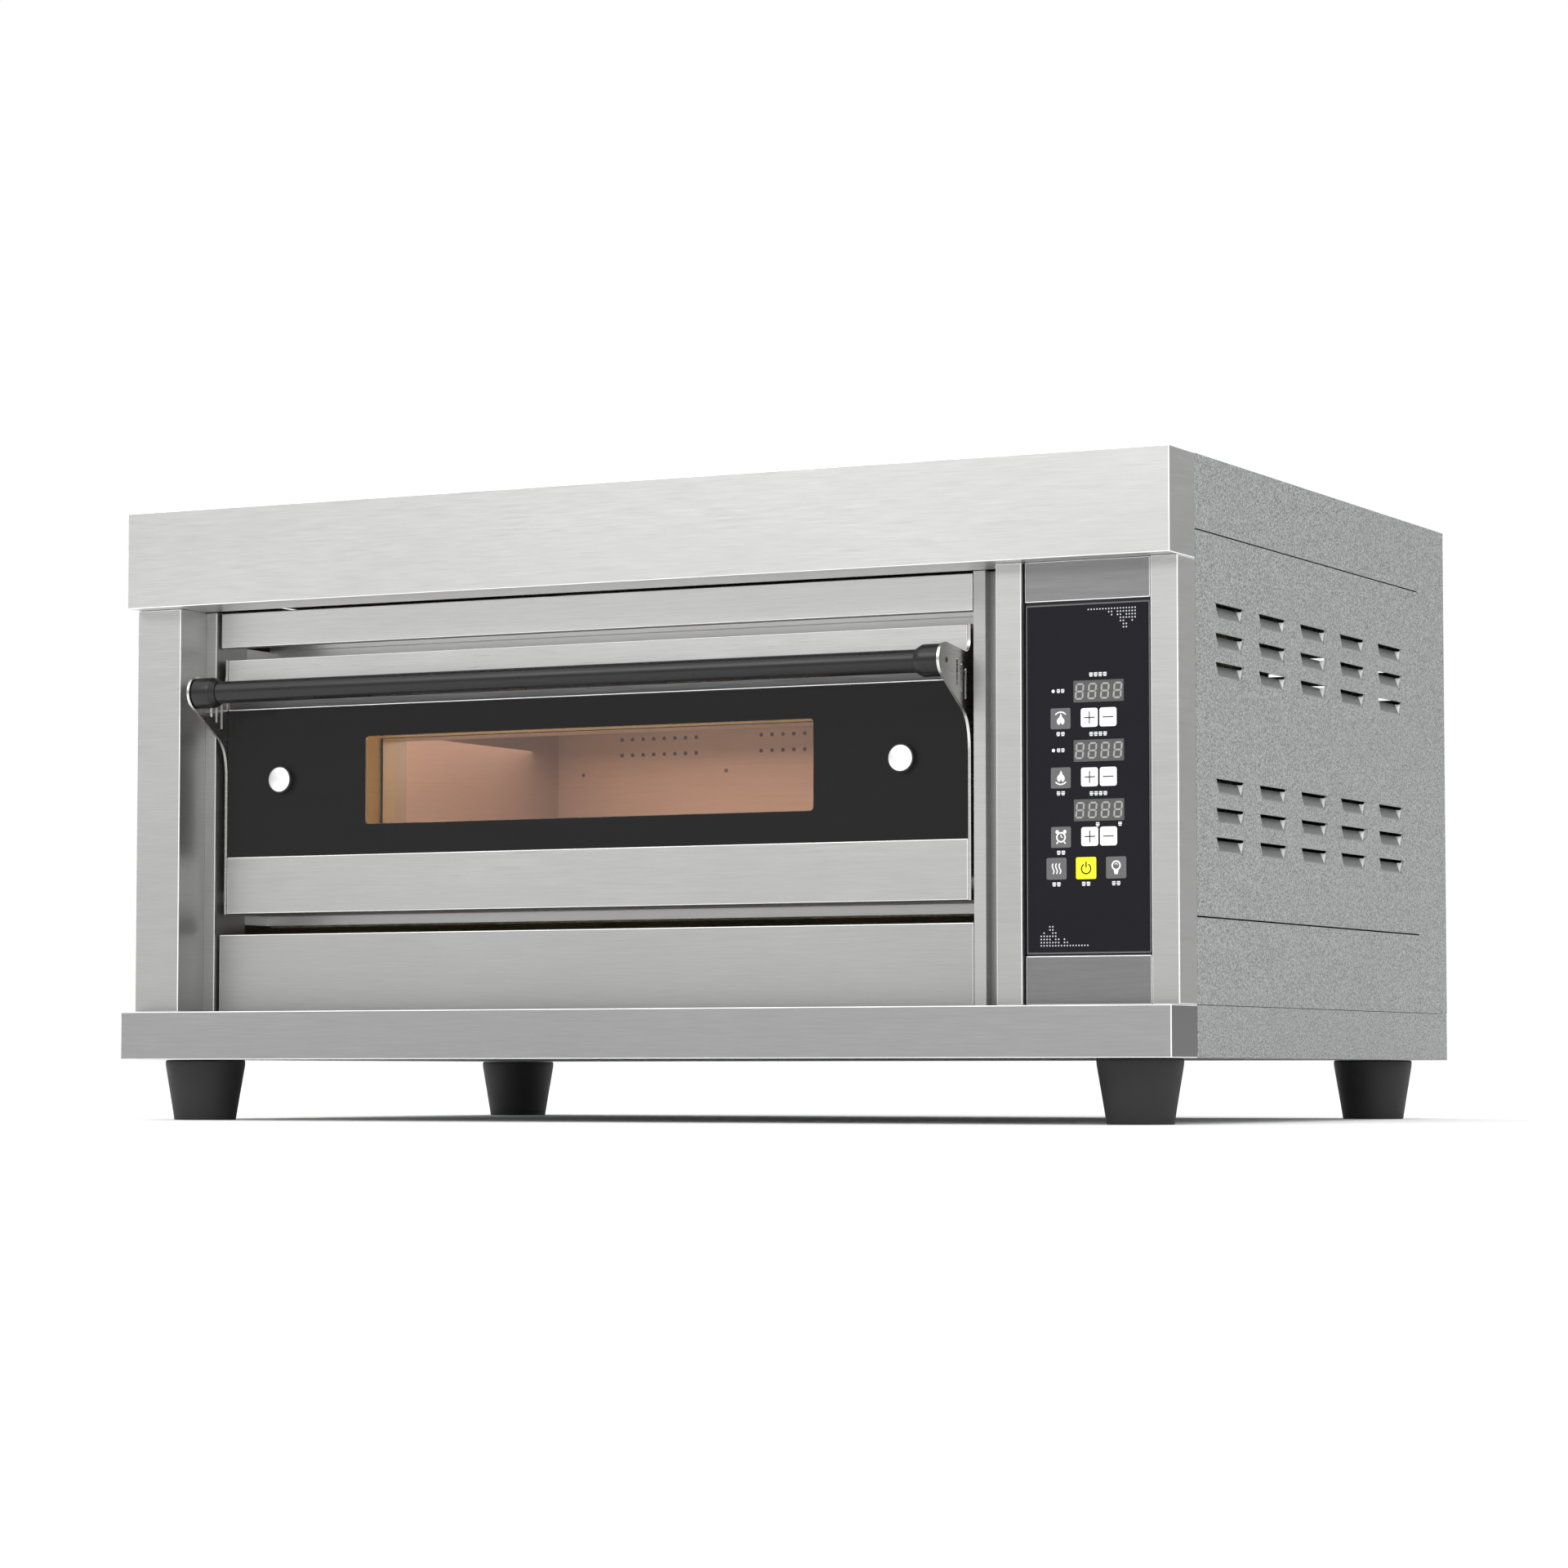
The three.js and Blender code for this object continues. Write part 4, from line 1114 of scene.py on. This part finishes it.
def steam(sheet, x, z):
    """Three rising waves, a generic sign for the auxiliary output."""
    steps, tall, swing, half = 12, 10.4, 0.9, 0.65
    for offset in (-3.6, 0, 3.6):
        heights = [z - tall / 2 + tall * step / steps for step in range(steps + 1)]
        line = [(x + offset + swing * math.sin(2 * math.pi * step / steps), height)
                for step, height in enumerate(heights)]
        left = [(px - half, pz) for px, pz in line]
        right = [(px + half, pz) for px, pz in reversed(line)]
        sheet.light(left + right)


def power_sign(sheet, x, z):
    sheet.mark("marks_dark", band((x, z - 0.6), 4.9, 1.5, 118, 422, 28))
    sheet.mark("marks_dark", bar((x, z + 0.4), (x, z + 6.4), 1.5))


def corner_dots(sheet, x, z, across, up):
    """A generic corner ornament: a line of dots with columns of dots on it, random in length."""
    pitch, columns, dot = 3.1, 17, 0.78
    chance = random.Random(7)
    for column in range(columns):
        rows = 1 + int(chance.random() * max(0, 10 - column * 0.8))
        for row in range(rows):
            if row == 0 or chance.random() < 0.7:
                place = (x + across * column * pitch, z + up * row * pitch)
                sheet.mark("marks_dots", circle(place, dot, 10))


def make_display_row(sheet, row):
    """A display with its caption, a minus and a plus key under it and a grey key to its left."""
    first_row, row_pitch, display_x, digit_pitch = 257.1, 58.4, 77.85, 13.45
    plus_x, minus_x, icon_x = 68.0, 87.7, 37.3
    z = first_row - row * row_pitch
    sheet.mark("display_window", rounded_box((display_x, z), 53.3, 21.4, 0.5, 2))
    for digit in range(4):
        for segment in digit_segments(display_x - 20.2 + digit * digit_pitch, z):
            sheet.mark("display_segments", segment)
    caption(sheet, 77.3, z + 16.2, 4)
    key_z, arm = z - 25.9, 5.6
    for x in (plus_x - 0.1, minus_x + 0.1):
        sheet.mark("key_white", rounded_box((x, key_z), 18.0, 18.6, 2.4))
    for x in (plus_x, minus_x):
        sheet.mark("marks_dark", bar((x - arm, key_z), (x + arm, key_z), 1.1))
    sheet.mark("marks_dark", bar((plus_x, key_z - 5.9), (plus_x, key_z + 5.9), 1.1))
    icon = (icon_x, z - 26.0)
    sheet.mark("key_grey", rounded_box(icon, 21.2, 20.6, 1.6))
    caption(sheet, icon_x, icon[1] - 15.2, 2)
    if row < 2:
        sheet.light(circle((29.6, z + 1.2), 1.7, 18))
        caption(sheet, 37.4, z + 1.2, 2, 3.7)
        heat_sign(sheet, *icon, over=row == 0)
    else:
        clock(sheet, *icon)
        for x in (76.4, 100.1):
            caption(sheet, x, z - 14.2, 1)


def heat_sign(sheet, x, z, over):
    """A flame under an arc for the heat from above, or over one for the heat from below."""
    sheet.light(flame(x, z - (1.4 if over else -0.8), 10.5))
    start, end = (42, 138) if over else (222, 318)
    sheet.light(band((x, z - (1.0 if over else -1.0)), 7.4, 1.3, start, end))


def make_panel_print():
    sheet = Print()
    for row in range(3):
        make_display_row(sheet, row)
    z, steam_x, power_x, bulb_x = 83.5, 32.4, 63.9, 95.7
    for x, layer in ((steam_x, "key_grey"), (power_x, "key_power"), (bulb_x, "key_grey")):
        sheet.mark(layer, rounded_box((x, z), 21.4, 21.4, 1.8))
        caption(sheet, x, z - 15.4, 2)
    steam(sheet, steam_x, z)
    power_sign(sheet, power_x, z)
    light_bulb(sheet, bulb_x, z)
    corner_dots(sheet, 117.0, 337.5, -1, -1)
    corner_dots(sheet, 15.8, 8.0, 1, 1)
    sheet.build()


# ---- light inside the chamber

WARM, ROSY, GOLDEN = (1.0, 0.74, 0.5), (1.0, 0.70, 0.55), (1.0, 0.52, 0.14)
WINDOW_LEVEL = 0.345


def light_chamber():
    """The glow of the chamber lamp, light from the ceiling, and a small lamp on the window's left side."""
    low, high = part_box("chamber_liner")
    lamp = (low.x + 60 * MM, low.y + 120 * MM, high.z - 60 * MM)
    make_softbox("chamber_lamp_light", lamp, (0, high.y, 0.32), (0.08, 0.08), 0.3, WARM)
    top = (low.x + 210 * MM, low.y + 330 * MM, high.z - 30 * MM)
    make_softbox("chamber_top_light", top, (top[0], top[1], 0), (0.7, 0.4), 1.3, ROSY)
    inside, outside = (-0.02, low.y + 25 * MM, WINDOW_LEVEL), (-0.5, low.y - 40 * MM, WINDOW_LEVEL)
    make_softbox("window_side_light", inside, outside, (0.05, 0.08), 0.16, GOLDEN, 60)


def light_upper_gap():
    """A long lamp hidden behind the upper front panel, so that the gap above the door isn't black."""
    low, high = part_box("upper_front_panel")
    x, y, z = (low.x + high.x) / 2, high.y + 35 * MM, low.z + 22 * MM
    make_softbox("upper_gap_light", (x, y, z), (x, y + 60 * MM, z - 60 * MM), (0.84, 0.04), 0.07)


make_camera()
make_world()
make_floor()
make_softbox("key_light", (-1.2, -3.2, 2.6), (0, 0, 0.4), (2.4, 1.6), 34)
make_softbox("right_light", (3.4, -0.6, 2.2), (0.4, 0, 0.3), (1.6, 2.0), 10)

for sheet_finish, names in STEEL_SHEETS:
    for kept in names.split():
        dress(kept, sheet_finish, SHEET_EDGE, bright=True)
for other_finish, names in OTHER_NODES:
    for kept in names.split():
        dress(kept, other_finish, USUAL_EDGE)
make_feet()
make_handle()
make_door_glass()
make_inner_glass()
make_glass_caps()
make_hinges()
make_elements()
make_lamp()
make_flue_and_gland()
make_vent_holes()
make_rear_screws()
make_control_glass()
make_panel_print()
light_chamber()
light_upper_gap()

bpy.context.scene.view_settings.view_transform = "Standard"
